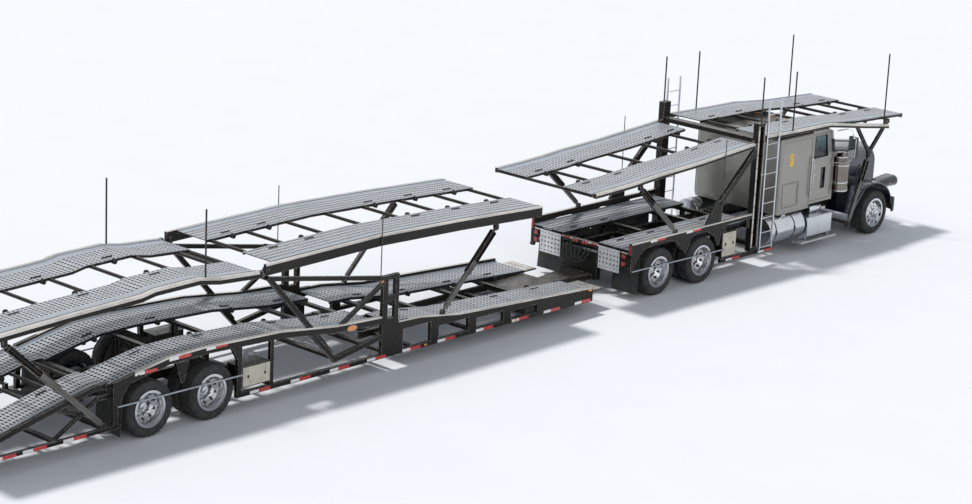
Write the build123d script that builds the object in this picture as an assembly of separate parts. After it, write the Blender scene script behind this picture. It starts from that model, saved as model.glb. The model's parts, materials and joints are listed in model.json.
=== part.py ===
from build123d import *
import math
import os

os.makedirs("parts", exist_ok=True)

# A car transporter truck: a conventional sleeper tractor with a deck over its cab and one
# behind it, coupled low to a drop frame trailer with two upper decks and a tilting rear ramp.
# Millimetres; x forward, y to the left, z up, origin on the ground at mid length and width.

# Places along the truck
front_end_x = 12200
frame_front_x = 12040
steer_axle_x = 11300
front_drive_x = 5400
rear_drive_x = 4100
pivot_x = 1750
front_trailer_axle_x = -7040
rear_trailer_axle_x = -8300
rear_end_x = -12200

# Widths, all measured from the middle
side_outer = 1265
rail_width = 70
side_inner = side_outer - rail_width
track_outer = side_inner - 10
brace_y = (side_outer - 60, side_outer - 10)
guard_y = side_outer + 15
stay_y = side_outer + 18
lug_end_y = side_outer + 25
upright_y = side_outer - 35
mast_inner = side_inner - 65
track_inner = 450
rail_outer = 430
rail_inner = 350

# Wheels
tyre_radius = 460
tyre_half_width = 142
bead_radius = 288
barrel_inner_radius = 262
flange_radius = 303
outer_dual_y = 1120
dual_spacing = 330
steer_wheel_y = 1060
drum_radius = 205
spindle_radius = 45
steer_spindle_radius = 40
bearing_clearance = 0.08
pin_clearance = 0.08
hand_hole_radius = 28

# Tractor frame
chassis_bottom = 560
chassis_top = 800
chassis_rear_x = 3300
rack_rail_top = 1150
rack_rail_depth = 90
lower_track_top = 1010
track_thickness = 12
track_flange = 45
mast_x = (6930, 7140)
mast_bottom = 370
mast_top = 2960
ladder_x = (7180, 7570)
ladder_y = (side_outer + 7, side_outer + 29)
ladder_bottom = 350
ladder_top = 3400
rung_pitch = 300

# Coupling under the trailer nose
stinger_bottom = 250
stinger_top = 355
coupling_plate_bottom = 360
kingpin_radius = 40

# Cab and sleeper
cab_rear_x = 9065
cab_front_x = 9860
cab_half_width = 1060
cab_bottom = 960
cab_wall = 50
sleeper_rear_x = 8000
sleeper_front_x = 9055
sleeper_half_width = 1080
sleeper_bottom = 895
sleeper_top = 2500
door_gap = 8
door_rear_x = 9080
door_front_x = 9788
door_bottom = 1022
door_top = 2395
sill_z = 1850
pillar_lean = 0.18
hinge_radius = 9
hinge_gap = 0.3

# Hood
hood_rear_x = 9885
hood_front_x = 12090
hood_wall = 30
hood_pivot = (11950, 700)
fender_outer = 1185
fender_wall = 30
pod_front_x = 12110

# Decks that swing: the pin they turn on and the eye their cylinders push
pin_radius = 20
eye_pin_radius = 12
eye_bore_radius = 34
eye_outer_radius = 50
barrel_radius = 34
rod_radius = 20
rod_clearance = 0.08
post_radius = 15
guard_radius = 13
cylinder_y = upright_y
foot_eye_radius = 36
tube_half_depth = 41
tube_half_width = 26
arm_half_depth = 58
arm_wall = 9
arm_y = (side_inner - 5, side_outer - 3)
ramp_outer = side_inner - 20
ramp_cylinder_y = 600
ramp_hinge = (-9100, 985)
ramp_base = (-9150, 404)
ramp_eye = (-10100, 680)
rear_deck_hinge = (-6020, 2215)
rear_arm_base = (-9220, 400)
rear_arm_eye = (-11040, 2050)
front_deck_hinge = (-5900, 2280)
front_arm_base = (-1790, 796)
front_arm_eye = (-520, 2090)
headrack_hinge = (7190, 2600)
leg_base = (10300, 420)
leg_eye = (10830, 1750)
tractor_hinge = (6880, 2540)
tractor_arm_base = (4550, 1190)
tractor_arm_eye = (3420, 2196)


def block(x, y, z):
    """A box between two x, two y and two z values."""
    size = (x[1] - x[0], y[1] - y[0], z[1] - z[0])
    middle = ((x[0] + x[1]) / 2, (y[0] + y[1]) / 2, (z[0] + z[1]) / 2)
    return Pos(*middle) * Box(*size)


def side_plate(outline, y):
    """A plate with this side outline, as (x, z) points, between two y values."""
    wire = Polyline([(px, y[0], pz) for px, pz in outline], close=True)
    return extrude(make_face(wire), amount=y[1] - y[0], dir=(0, 1, 0))


def plan_plate(outline, z):
    """A plate with this plan outline, as (x, y) points, between two z values."""
    wire = Polyline([(px, py, z[0]) for px, py in outline], close=True)
    return extrude(make_face(wire), amount=z[1] - z[0], dir=(0, 0, 1))


def bar(start, end, y, depth):
    """A flat sided bar between two (x, z) points, seen from the side."""
    length = math.dist(start, end)
    nx = -(end[1] - start[1]) / length * depth / 2
    nz = (end[0] - start[0]) / length * depth / 2
    corners = [
        (start[0] + nx, start[1] + nz),
        (end[0] + nx, end[1] + nz),
        (end[0] - nx, end[1] - nz),
        (start[0] - nx, start[1] - nz),
    ]
    return side_plate(corners, y)


def rod(start, end, radius):
    """A round bar between two points in space."""
    direction = Vector(*end) - Vector(*start)
    return Solid.make_cylinder(radius, direction.length, Plane(origin=start, z_dir=direction))


def cross_rod(x, z, y, radius):
    """A round bar along y at one place in the side view."""
    return rod((x, y[0], z), (x, y[1], z), radius)


def fuse(pieces):
    """One shape from a list, joined where they touch."""
    whole = pieces[0]
    for piece in pieces[1:]:
        whole = whole + piece
    return whole


def both_sides(shape):
    """The shape and its mirror image on the other side of the truck."""
    return shape + mirror(shape, about=Plane.XZ)


def on_side(shape, side):
    """A shape made for the left side, put on the left or the right."""
    if side == "left":
        return shape
    return mirror(shape, about=Plane.XZ)


def height_on(line, x):
    """The height of a line of (x, z) points at one x."""
    points = sorted(line)
    for (x0, z0), (x1, z1) in zip(points, points[1:]):
        if x0 <= x <= x1:
            return z0 + (z1 - z0) * (x - x0) / (x1 - x0)
    raise ValueError("x is off the end of the line")


def rail_along(line, depth, y):
    """A side rail whose top follows a line of (x, z) points."""
    outline = list(line) + [(x, z - depth) for x, z in reversed(line)]
    return side_plate(outline, y)


def track_along(line, drop):
    """Both wheel tracks of a deck, each a folded sheet, a drop below a line of points."""
    top = [(x, z - drop) for x, z in line]
    sheet = rail_along(top, track_thickness, (track_inner, track_outer))
    lip = rail_along(top, track_flange, (track_inner, track_inner + track_thickness))
    outer_lip = rail_along(top, track_flange, (track_outer - track_thickness, track_outer))
    return both_sides(sheet + lip + outer_lip)


def hinge_halves(x, y, z, leaf):
    """A door's upright hinge as two shapes: the moving barrel and the fixed ones above and below."""
    moving = rod((x, y, z[0]), (x, y, z[1]), hinge_radius)
    moving = moving + block((x - leaf, x), (y - hinge_radius, y - hinge_radius + 8), z)
    fixed = []
    for low, high in ((z[0] - 34, z[0] - hinge_gap), (z[1] + hinge_gap, z[1] + 34)):
        fixed.append(rod((x, y, low), (x, y, high), hinge_radius))
        fixed.append(block((x, x + leaf), (y - hinge_radius, y - hinge_radius + 8), (low, high)))
    return moving, fuse(fixed)


def write(name, shape):
    export_step(shape, "parts/" + name + ".step")


# Cylinders: a barrel pinned to a frame and a rod that slides in it. Under a deck the barrel is
# a box tube, and the rod's end carries a channel arm that slides over the tube
def cylinder_pair(base, eye, barrel_length, draw_in, arm_start, y):
    """The barrels and rods of both sides, between a base pin and an eye that can draw in."""
    length = math.dist(base, eye)
    ux = (eye[0] - base[0]) / length
    uz = (eye[1] - base[1]) / length

    def along(distance):
        return (base[0] + ux * distance, y, base[1] + uz * distance)

    def seen(distance, off=0):
        return (base[0] + ux * distance - uz * off, base[1] + uz * distance + ux * off)

    if arm_start:
        tube_y = (y - tube_half_width, y + tube_half_width)
        barrel = bar(seen(78), seen(barrel_length), tube_y, 2 * tube_half_depth)
    else:
        barrel = rod(along(62), along(barrel_length), barrel_radius)
    neck = rod(along(10), along(82), rod_radius + 2)
    foot_eye = cross_rod(base[0], base[1], (y - 24, y + 24), foot_eye_radius)
    bore = rod(along(84), along(barrel_length + 5), rod_radius + rod_clearance)
    pin_hole = cross_rod(base[0], base[1], (y - 40, y + 40), pin_radius + pin_clearance)
    barrel = fuse([barrel, neck, foot_eye]) - bore - pin_hole
    ring = cross_rod(eye[0], eye[1], (y - 20, y + 20), eye_outer_radius)
    rod_piece = rod(along(90 + draw_in), along(length - eye_bore_radius - 4), rod_radius)
    hole = cross_rod(eye[0], eye[1], (y - 30, y + 30), eye_bore_radius)
    rod_piece = rod_piece + (ring - hole)
    if arm_start:
        arm_end = length - 80
        flange_middle = arm_half_depth - arm_wall / 2
        web = bar(seen(arm_start), seen(arm_end), (arm_y[0], arm_y[0] + 7), 2 * arm_half_depth)
        flanges = [bar(seen(arm_start, off), seen(arm_end, off), arm_y, arm_wall)
                   for off in (-flange_middle, flange_middle)]
        cap = bar(seen(arm_end - 10), seen(arm_end), arm_y, 2 * arm_half_depth)
        rod_piece = fuse([rod_piece, web, cap] + flanges)
    return both_sides(barrel), both_sides(rod_piece)


def base_pins(base, carrier_top, y=cylinder_y):
    """The pin and the two cheeks that hold a barrel's foot, on both sides."""
    pin = cross_rod(base[0], base[1], (y - 36, y + 34), pin_radius)
    cheeks = [block((base[0] - 36, base[0] + 36), cheek, (carrier_top, base[1] + 36))
              for cheek in ((y - 36, y - 26), (y + 26, y + 34))]
    return both_sides(fuse([pin] + cheeks))


def eye_pins(eye, carrier_bottom, y=cylinder_y):
    """The pin and the two cheeks that hang from a deck rail round a rod's eye."""
    pin = cross_rod(eye[0], eye[1], (y - 34, y + 34), eye_pin_radius)
    cheeks = [block((eye[0] - 40, eye[0] + 40), cheek, (eye[1] - 30, carrier_bottom))
              for cheek in ((y - 34, y - 26), (y + 26, y + 34))]
    return both_sides(fuse([pin] + cheeks))


def pivot_lugs(place, carrier, y_inner=side_inner - 45):
    """The pin through a deck's side rails and the plates that carry it, on both sides."""
    x, z = place
    pin = cross_rod(x, z, (y_inner, side_outer - 5), pin_radius)
    sign = 1 if carrier[0][0] > x else -1
    outline = [(x - sign * 30, z - 35), (x - sign * 30, z + 35)] + carrier
    plate = side_plate(outline, (y_inner, side_inner - 6))
    return both_sides(pin + plate)


# Wheels, made about the y axis for the left side
def tyre(y_mid):
    side = tyre_half_width
    bead = (bead_radius, 112)
    toe = (flange_radius + 2, 121)
    bulge = ((bead_radius + tyre_radius) / 2, side)
    shoulder = (tyre_radius - 14, side - 14)
    crown = (tyre_radius, side - 36)

    def at(point, sign):
        return (point[0], y_mid + sign * point[1])

    edges = [
        Line(at(bead, -1), at(toe, -1)),
        ThreePointArc(at(toe, -1), at(bulge, -1), at(shoulder, -1)),
        Line(at(shoulder, -1), at(crown, -1)),
        Line(at(crown, -1), at(crown, 1)),
        Line(at(crown, 1), at(shoulder, 1)),
        ThreePointArc(at(shoulder, 1), at(bulge, 1), at(toe, 1)),
        Line(at(toe, 1), at(bead, 1)),
        Line(at(bead, 1), at(bead, -1)),
    ]
    return revolve(make_face(edges), Axis.Y)


def turned(outline):
    """A turned piece from (radius, y) points."""
    return revolve(make_face(Polyline(outline, close=True)), Axis.Y)


def rim_barrel(y_mid):
    edge = 131
    lip = 124
    outline = [
        (barrel_inner_radius, y_mid - edge),
        (flange_radius, y_mid - edge),
        (flange_radius, y_mid - lip),
        (bead_radius - 0.3, y_mid - lip),
        (bead_radius - 0.3, y_mid + lip),
        (flange_radius, y_mid + lip),
        (flange_radius, y_mid + edge),
        (barrel_inner_radius, y_mid + edge),
    ]
    return turned(outline)


def hand_holes(count, ring_radius, y):
    holes = []
    for index in range(count):
        angle = 2 * math.pi * (index + 0.5) / count
        x = ring_radius * math.cos(angle)
        z = ring_radius * math.sin(angle)
        holes.append(cross_rod(x, z, y, hand_hole_radius))
    return fuse(holes)


def dual_tyres():
    return tyre(outer_dual_y) + tyre(outer_dual_y - dual_spacing)


def dual_rims():
    face = outer_dual_y - dual_spacing / 2
    disc = 11
    dish = barrel_inner_radius + 2
    outer_disc = turned([(110, face), (110, face + disc), (180, face + disc), (dish, face + 67),
                         (dish, face + 50), (188, face)])
    inner_disc = turned([(110, face), (110, face - disc), (180, face - disc), (dish, face - 67),
                         (dish, face - 50), (188, face)])
    hub = turned([(0, 812), (spindle_radius + bearing_clearance, 812),
                  (spindle_radius + bearing_clearance, 646), (95, 646), (95, 664), (drum_radius, 664),
                  (drum_radius, 870), (150, 890), (150, face - disc), (110, face - disc),
                  (110, face + 60), (62, face + 80), (62, face + 125), (0, face + 125)])
    discs = outer_disc + inner_disc - hand_holes(5, 222, (face - 80, face + 80))
    return fuse([discs, rim_barrel(outer_dual_y), rim_barrel(outer_dual_y - dual_spacing), hub])


def steer_rim():
    face = steer_wheel_y + 108
    disc = 20
    dish = barrel_inner_radius + 2
    plate = turned([(90, face - disc), (90, face), (176, face), (dish, face - 46),
                    (dish, face - 72), (184, face - disc)])
    hub = turned([(0, 1114), (steer_spindle_radius + bearing_clearance, 1114),
                  (steer_spindle_radius + bearing_clearance, 1004), (drum_radius, 1004),
                  (drum_radius, 1084), (110, 1100), (110, face - disc), (90, face - disc),
                  (90, face + 6), (66, face + 40), (0, face + 40)])
    plate = plate - hand_holes(10, 218, (face - 90, face + 20))
    return fuse([plate, rim_barrel(steer_wheel_y), hub])


def place_wheel(shape, axle_x, side):
    return Pos(axle_x, 0, tyre_radius) * on_side(shape, side)


dual_tyre_pair = dual_tyres()
dual_rim_pair = dual_rims()
steer_tyre = tyre(steer_wheel_y)
steer_wheel_rim = steer_rim()

dual_wheels = [
    # name, axle x
    ("front_drive", front_drive_x),
    ("rear_drive", rear_drive_x),
    ("front_trailer", front_trailer_axle_x),
    ("rear_trailer", rear_trailer_axle_x),
]
for side in ("left", "right"):
    for name, axle_x in dual_wheels:
        write(name + "_tyres_" + side, place_wheel(dual_tyre_pair, axle_x, side))
        write(name + "_rims_" + side, place_wheel(dual_rim_pair, axle_x, side))
    write("steer_tyre_" + side, place_wheel(steer_tyre, steer_axle_x, side))
    write("steer_rim_" + side, place_wheel(steer_wheel_rim, steer_axle_x, side))


# Axles
kingpin_y = 900
kingpin_pin_radius = 22
knuckle_lug_radius = 46
beam_z = (414, 506)
lug_z = ((372, 410), (510, 548))


def steer_beam():
    beam = block((steer_axle_x - 42, steer_axle_x + 42), (-kingpin_y, kingpin_y), beam_z)
    web = block((steer_axle_x - 42, steer_axle_x - 14), (-820, 820), (beam_z[0] + 20, beam_z[1] - 20))
    beam = beam - web - mirror(web, about=Plane.YZ.offset(steer_axle_x))
    eyes = []
    for y in (-kingpin_y, kingpin_y):
        eyes.append(rod((steer_axle_x, y, beam_z[0]), (steer_axle_x, y, beam_z[1]), knuckle_lug_radius))
    beam = fuse([beam] + eyes)
    for y in (-kingpin_y, kingpin_y):
        bore = kingpin_pin_radius + pin_clearance
        beam = beam - rod((steer_axle_x, y, beam_z[0] - 5), (steer_axle_x, y, beam_z[1] + 5), bore)
    spring = block((steer_axle_x - 620, steer_axle_x + 560), (rail_inner + 8, rail_outer - 8),
                   (beam_z[1], beam_z[1] + 30))
    hangers = [block((x, x + 50), (rail_inner + 8, rail_outer - 8), (beam_z[1] + 30, chassis_bottom))
               for x in (steer_axle_x - 620, steer_axle_x + 510)]
    return fuse([beam, both_sides(fuse([spring] + hangers))])


def dual_axle(axle_x, seat_top, with_gear):
    """An axle tube with its spindles, spring seats and, when driven, its gear housing."""
    z = tyre_radius
    pieces = [cross_rod(axle_x, z, (-640, 640), 62)]
    pieces.append(cross_rod(axle_x, z, (-806, 806), spindle_radius))
    if with_gear:
        bowl = Pos(axle_x, 0, z) * Rot(0, 90, 0) * Cylinder(185, 130)
        nose = rod((axle_x, 0, z), (axle_x + 330, 0, z), 70)
        pieces += [bowl, nose]
    seat = block((axle_x - 70, axle_x + 70), (rail_inner + 5, rail_outer - 5), (z + 20, seat_top))
    pieces.append(both_sides(seat))
    return fuse(pieces)


axles = [steer_beam()]
for axle_x in (front_drive_x, rear_drive_x):
    axles.append(dual_axle(axle_x, chassis_bottom, True))
write("tractor_axles", fuse(axles))


def knuckle():
    x = steer_axle_x
    pieces = []
    for z in lug_z:
        pieces.append(rod((x, kingpin_y, z[0]), (x, kingpin_y, z[1]), knuckle_lug_radius))
        pieces.append(block((x - 46, x + 46), (kingpin_y, 990), z))
    pieces.append(block((x - 46, x + 46), (958, 990), (lug_z[0][0], lug_z[1][1])))
    pieces.append(rod((x, kingpin_y, lug_z[0][0]), (x, kingpin_y, lug_z[1][1]), kingpin_pin_radius))
    pieces.append(cross_rod(x, tyre_radius, (990, 1110), steer_spindle_radius))
    return fuse(pieces)


for side in ("left", "right"):
    write("steering_knuckle_" + side, on_side(knuckle(), side))


# Tractor chassis with the low coupling head behind it
def tractor_chassis():
    web = 10
    rail = block((chassis_rear_x, frame_front_x), (rail_inner, rail_outer), (chassis_bottom, chassis_top))
    hollow = block((chassis_rear_x - 1, front_end_x), (rail_inner - 1, rail_outer - web),
                   (chassis_bottom + web, chassis_top - web))
    pieces = [both_sides(rail - hollow)]
    for x in (3560, 4710, 6050, 7500, 9500, 11900):
        pieces.append(block((x, x + 80), (-rail_outer + web, rail_outer - web),
                            (chassis_bottom + web, chassis_top - web)))
    drop = block((chassis_rear_x - 60, chassis_rear_x + 60), (-rail_outer, rail_outer),
                 (stinger_bottom, chassis_top))
    beam = plan_plate([(chassis_rear_x, -330), (chassis_rear_x, 330), (2300, 180), (1500, 180),
                       (1500, -180), (2300, -180)], (stinger_bottom, stinger_top))
    head = rod((pivot_x, 0, stinger_bottom), (pivot_x, 0, stinger_top), 330)
    bore = rod((pivot_x, 0, stinger_bottom - 5), (pivot_x, 0, stinger_top + 5),
               kingpin_radius + bearing_clearance)
    pieces.append(drop + beam + head - bore)
    leg_arm = block((leg_base[0] - 50, leg_base[0] + 50), (rail_inner, side_inner - 1), (384, 424))
    leg_drop = block((leg_base[0] - 50, leg_base[0] + 50), (rail_inner, rail_outer), (424, chassis_bottom))
    leg_end = block((leg_base[0] - 50, leg_base[0] + 50), (side_inner - 5, side_outer - 1), (340, 376))
    leg_riser = block((leg_base[0] - 50, leg_base[0] + 50), (side_inner - 9, side_inner - 1), (340, 424))
    pieces.append(both_sides(fuse([leg_arm, leg_drop, leg_end, leg_riser])))
    pieces.append(base_pins(leg_base, 370))
    pieces.append(both_sides(cross_rod(hood_pivot[0], hood_pivot[1], (rail_outer - 6, 468), pin_radius)))
    return fuse(pieces)


write("tractor_chassis", tractor_chassis())

# Engine, one plain block on its mounts between the rails
engine = block((10250, 11650), (-330, 330), (620, 1440))
mount = both_sides(block((10500, 10620), (330, rail_outer - 10), (640, 760)))
write("engine", engine + mount)


# Tractor rack: side rails over the drive wheels, masts, struts and their cross beams
def tractor_rack():
    y = (side_inner, side_outer)
    rail_bottom = rack_rail_top - rack_rail_depth
    rail = side_plate([
        (3235, 640), (3235, rack_rail_top), (mast_x[0], rack_rail_top), (mast_x[0], rail_bottom),
        (6440, rail_bottom), (6020, rail_bottom), (5900, 690), (5840, 690), (5760, 870), (5550, 1010),
        (5220, 1050), (5040, 990), (4880, 690), (4730, 800), (4560, 990), (4300, 1040), (3900, 1040),
        (3640, 990), (3440, 860), (3310, 640),
    ], y)
    mast = block(mast_x, (mast_inner, side_outer), (mast_bottom, mast_top))
    slot = block((mast_x[0] + 45, mast_x[1] - 45), (mast_inner + 20, side_outer + 1),
                 (mast_bottom + 80, mast_top - 60))
    foot = block((6000, ladder_x[1]), y, (300, 372))
    strut = bar((mast_x[0] + 20, 2470), (5860, 1500), brace_y, 90)
    bracket = side_plate([(5480, rack_rail_top), (5930, rack_rail_top), (5960, 1500), (5860, 1590),
                          (5740, 1540)], brace_y)
    box_shell = block((6000, 6440), (950, side_outer), (410, 910))
    hanger = block((6020, 6100), (side_inner + 5, side_outer - 5), (372, 410))
    box_hanger = block((6020, 6100), y, (910, rail_bottom))
    guard_arm = bar((3270, 640), (3270, 590), y, 60)
    one_side = fuse([rail, mast - slot, foot, strut, bracket, box_shell, hanger, box_hanger, guard_arm])
    guard = rod((3250, guard_y, 612), (6010, guard_y, 575), guard_radius)
    lugs = [block((x, x + 30), (side_outer - 5, lug_end_y), (z - 20, z + 20))
            for x, z in ((3245, 612), (6000, 575))]
    upright = rod((5900, stay_y, 1500), (5900, stay_y, 2790), 9)
    tab = block((5890, 5910), (side_outer - 15, stay_y + 2), (1500, 1540))
    mast_upright = rod((7040, upright_y, mast_top - 70), (7040, upright_y, 3870), post_radius)
    one_side = fuse([one_side, guard, upright, tab, mast_upright] + lugs)
    pieces = [both_sides(one_side)]
    pieces.append(base_pins(tractor_arm_base, rack_rail_top - 5))
    pieces.append(pivot_lugs(tractor_hinge, [(mast_x[0] + 5, 2610), (mast_x[0] + 5, 2470)]))
    pieces.append(pivot_lugs(headrack_hinge, [(mast_x[1] - 5, 2670), (mast_x[1] - 5, 2530)]))
    beam_top = lower_track_top - track_flange
    beam_bottom = beam_top - 75
    for x in (3235, 4690, 6050, 6760):
        pieces.append(block((x, x + 80), (-side_inner, side_inner), (beam_bottom, beam_top)))
    for x in (4690, 6050, 6760):
        pieces.append(both_sides(block((x, x + 80), (rail_inner, rail_outer), (chassis_top, beam_bottom))))
    pieces.append(both_sides(block((6760, 6840), y, (beam_bottom, rail_bottom))))
    for z in (chassis_bottom - 90, 2560):
        pieces.append(block((mast_x[0] + 20, mast_x[1] - 20), (-mast_inner, mast_inner), (z, z + 90)))
    pieces.append(both_sides(block((3236, 3320), (rail_outer, side_inner), (790, beam_bottom))))
    return fuse(pieces)


write("tractor_rack", tractor_rack())

lower_track_line = [(3235, lower_track_top), (mast_x[0] - 20, lower_track_top)]
write("tractor_lower_tracks", track_along(lower_track_line, 0))


# Side ladders
def ladder():
    pieces = []
    for x in ladder_x:
        pieces.append(block((x, x + 36), ladder_y, (ladder_bottom, ladder_top)))
    rungs = int((ladder_top - ladder_bottom) / rung_pitch)
    for index in range(rungs):
        z = ladder_bottom + 60 + index * rung_pitch
        pieces.append(rod((ladder_x[0] + 18, stay_y, z), (ladder_x[1] + 18, stay_y, z), 10))
    pieces.append(block((ladder_x[0], ladder_x[0] + 36), (side_outer, ladder_y[0]), (ladder_bottom, 370)))
    pieces.append(block((mast_x[1] - 40, ladder_x[0] + 36), (side_outer, ladder_y[0]), (1900, 1920)))
    return fuse(pieces)


write("side_ladders", both_sides(ladder()))


# Fuel tanks, steps and small air tanks
def tank_and_steps():
    tank = rod((7640, 930, 598), (8800, 930, 598), 285)
    saddle = [block((x, x + 60), (rail_outer, 700), (chassis_bottom + 20, 700)) for x in (7900, 8500)]
    box = block((8835, 9660), (760, 1245), (350, 745))
    arm = block((9100, 9300), (rail_outer, 760), (600, 700))
    step = block((8680, 9870), (1000, 1245), (215, 245))
    legs = [block((x, x + 30), (1030, 1200), (245, 350)) for x in (8860, 9600)]
    return fuse([tank, box, arm, step] + saddle + legs)


write("tanks_and_steps", both_sides(tank_and_steps()))


# Sleeper shell
luggage_x = (8100, 8650)
luggage_z = (1020, 1520)


def luggage_hinge():
    hinge_z = (luggage_z[0] + 100, luggage_z[1] - 100)
    return hinge_halves(luggage_x[1] - door_gap, sleeper_half_width + hinge_radius, hinge_z, 40)


def sleeper_shell():
    w = sleeper_half_width
    outer = block((sleeper_rear_x, sleeper_front_x), (-w, w), (sleeper_bottom, sleeper_top))
    rear_edges = outer.edges().filter_by(Axis.Z).group_by(Axis.X)[0]
    outer = fillet(rear_edges, 90)
    outer = fillet(outer.edges().group_by(Axis.Z)[-1].filter_by(Axis.X), 110)
    inner = block((sleeper_rear_x + cab_wall, sleeper_front_x + 1), (-w + cab_wall, w - cab_wall),
                  (sleeper_bottom + cab_wall, sleeper_top - cab_wall))
    shell = outer - inner
    opening = block(luggage_x, (w - cab_wall - 1, w + 1), luggage_z)
    shell = shell - both_sides(opening)
    hinge = both_sides(luggage_hinge()[1])
    rail = (rail_inner, rail_outer)
    mounts = [block((x, x + 150), rail, (chassis_top, sleeper_bottom)) for x in (8100, 8850)]
    bunk_x = (sleeper_rear_x + cab_wall, sleeper_rear_x + 750)
    bunk = block(bunk_x, (-w + cab_wall, w - cab_wall), (1560, 1620))
    return fuse([shell, hinge, both_sides(fuse(mounts)), bunk])


write("sleeper_shell", sleeper_shell())


def luggage_door():
    w = sleeper_half_width
    x = (luggage_x[0] + door_gap, luggage_x[1] - door_gap)
    z = (luggage_z[0] + door_gap, luggage_z[1] - door_gap)
    return block(x, (w - cab_wall, w), z) + luggage_hinge()[0]


for side in ("left", "right"):
    write("luggage_door_" + side, on_side(luggage_door(), side))


# Cab shell
windshield_top = (cab_front_x - pillar_lean * 560, 2410)


def cab_outline(inset):
    """The cab's side outline, moved in by a wall."""
    rear = cab_rear_x - (1 if inset else 0)
    roof = 2485 - inset
    top_x = windshield_top[0] - inset
    return [
        (rear, cab_bottom + inset), (cab_front_x - inset, cab_bottom + inset),
        (cab_front_x - inset, sill_z + 10), (top_x, windshield_top[1] - inset / 2),
        (top_x - 130, roof - 15), (rear, roof),
    ]


def door_outline(grow):
    """The door's side outline, made larger all round by a gap."""
    lean = pillar_lean * (door_top - sill_z)
    return [
        (door_rear_x - grow, door_bottom - grow), (door_front_x + grow, door_bottom - grow),
        (door_front_x + grow, sill_z), (door_front_x + grow - lean, door_top + grow),
        (door_rear_x - grow, door_top + grow),
    ]


window_outline = [(9150, 1900), (9640, 1900), (9560, 2365), (9150, 2365)]
lower_window_outline = [(9430, 1240), (9580, 1240), (9580, 1680), (9430, 1680)]


def windshield_pane(grow):
    """Half of the windshield, as a slab in the raked plane, made larger by a margin."""
    low = sill_z + 90
    high = windshield_top[1] - 70
    y = (45 - grow, cab_half_width - 130 + grow)
    face_x = [cab_front_x - pillar_lean * (z - sill_z - 10) for z in (low - grow, high + grow)]
    return face_x, y, (low - grow, high + grow)


def raked_slab(grow, front, back):
    face_x, y, z = windshield_pane(grow)
    outline = [(face_x[0] + front, z[0]), (face_x[1] + front, z[1]),
               (face_x[1] - back, z[1]), (face_x[0] - back, z[0])]
    return side_plate(outline, y)


door_hinges_z = ((1110, 1190), (1700, 1780))


def door_hinge(z):
    return hinge_halves(door_front_x, cab_half_width + hinge_radius, z, 50)


def cab_shell():
    w = cab_half_width
    outer = side_plate(cab_outline(0), (-w, w))
    roof_edges = outer.edges().filter_by(Axis.X).group_by(Axis.Z)[-1]
    inner = side_plate(cab_outline(cab_wall), (-w + cab_wall, w - cab_wall))
    shell = outer - inner
    opening = side_plate(door_outline(door_gap), (w - cab_wall - 1, w + 1))
    shell = shell - both_sides(opening)
    shell = shell - both_sides(raked_slab(0, 40, 80))
    mounts = [block((x, x + 150), (rail_inner, rail_outer), (chassis_top, cab_bottom)) for x in (9150, 9650)]
    hinges = [door_hinge(z)[1] for z in door_hinges_z]
    return fuse([shell, both_sides(fuse(mounts + hinges))])


write("cab_shell", cab_shell())
write("windshield", both_sides(raked_slab(-0.3, -16, 24)))


# Doors, hinged at their front edge
def door(side):
    w = cab_half_width
    panel = side_plate(door_outline(0), (w - cab_wall, w))
    panel = panel - side_plate(window_outline, (w - cab_wall - 1, w + 1))
    if side == "right":
        panel = panel - side_plate(lower_window_outline, (w - cab_wall - 1, w + 1))
    for z in door_hinges_z:
        panel = panel + door_hinge(z)[0]
    handle = block((9110, 9220), (w, w + 25), (1560, 1590))
    panel = panel + handle
    return on_side(panel, side)


for side in ("left", "right"):
    write("door_" + side, door(side))


# Cab interior seen through the windows
def cab_interior():
    floor_z = cab_bottom + cab_wall
    seats = []
    for y in (-500, 500):
        pedestal = block((9250, 9450), (y - 130, y + 130), (floor_z, 1230))
        cushion = block((9150, 9620), (y - 250, y + 250), (1230, 1380))
        back = side_plate([(9150, 1380), (9270, 1380), (9200, 2080), (9100, 2080)], (y - 240, y + 240))
        seats += [pedestal, cushion, back]
    dash = side_plate([(9700, 1300), (9810, 1300), (9810, 1800), (9680, 1740), (9620, 1600)], (-1000, 1000))
    column = rod((9700, 500, 1500), (9546, 500, 1631), 25)
    rim = Pos(9545, 500, 1632) * Rot(0, -50, 0) * Torus(205, 15)
    spokes = Pos(9545, 500, 1632) * Rot(0, -50, 0) * Box(30, 410, 12)
    return fuse(seats + [dash, column, rim, spokes])


write("cab_interior", cab_interior())


# Air cleaners on the cowl and the mirrors beside them
def cowl_piece():
    cleaner = rod((10080, 1080, 1110), (10080, 1080, 1850), 172)
    lid = Pos(10080, 1080, 1850) * Cone(172, 100, 60, align=(Align.CENTER, Align.CENTER, Align.MIN))
    duct = block((cab_front_x, 9960), (930, 1040), (1250, 1380))
    strap = block((cab_front_x, 9960), (930, 1040), (1640, 1700))
    return fuse([cleaner, lid, duct, strap])


write("air_cleaners", both_sides(cowl_piece()))


def mirror_arm():
    w = cab_half_width
    head = block((9990, 10050), (w + 230, w + 430), (1860, 2300))
    foot = side_plate([(9790, 1960), (9834, 1960), (9786, 2240), (9742, 2240)], (w, w + 26))
    arms = [rod((9800 - pillar_lean * (z - 1990), w + 20, z), (10020, w + 240, z), 14) for z in (1990, 2200)]
    return fuse([head, foot] + arms)


write("mirrors", both_sides(mirror_arm()))


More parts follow.
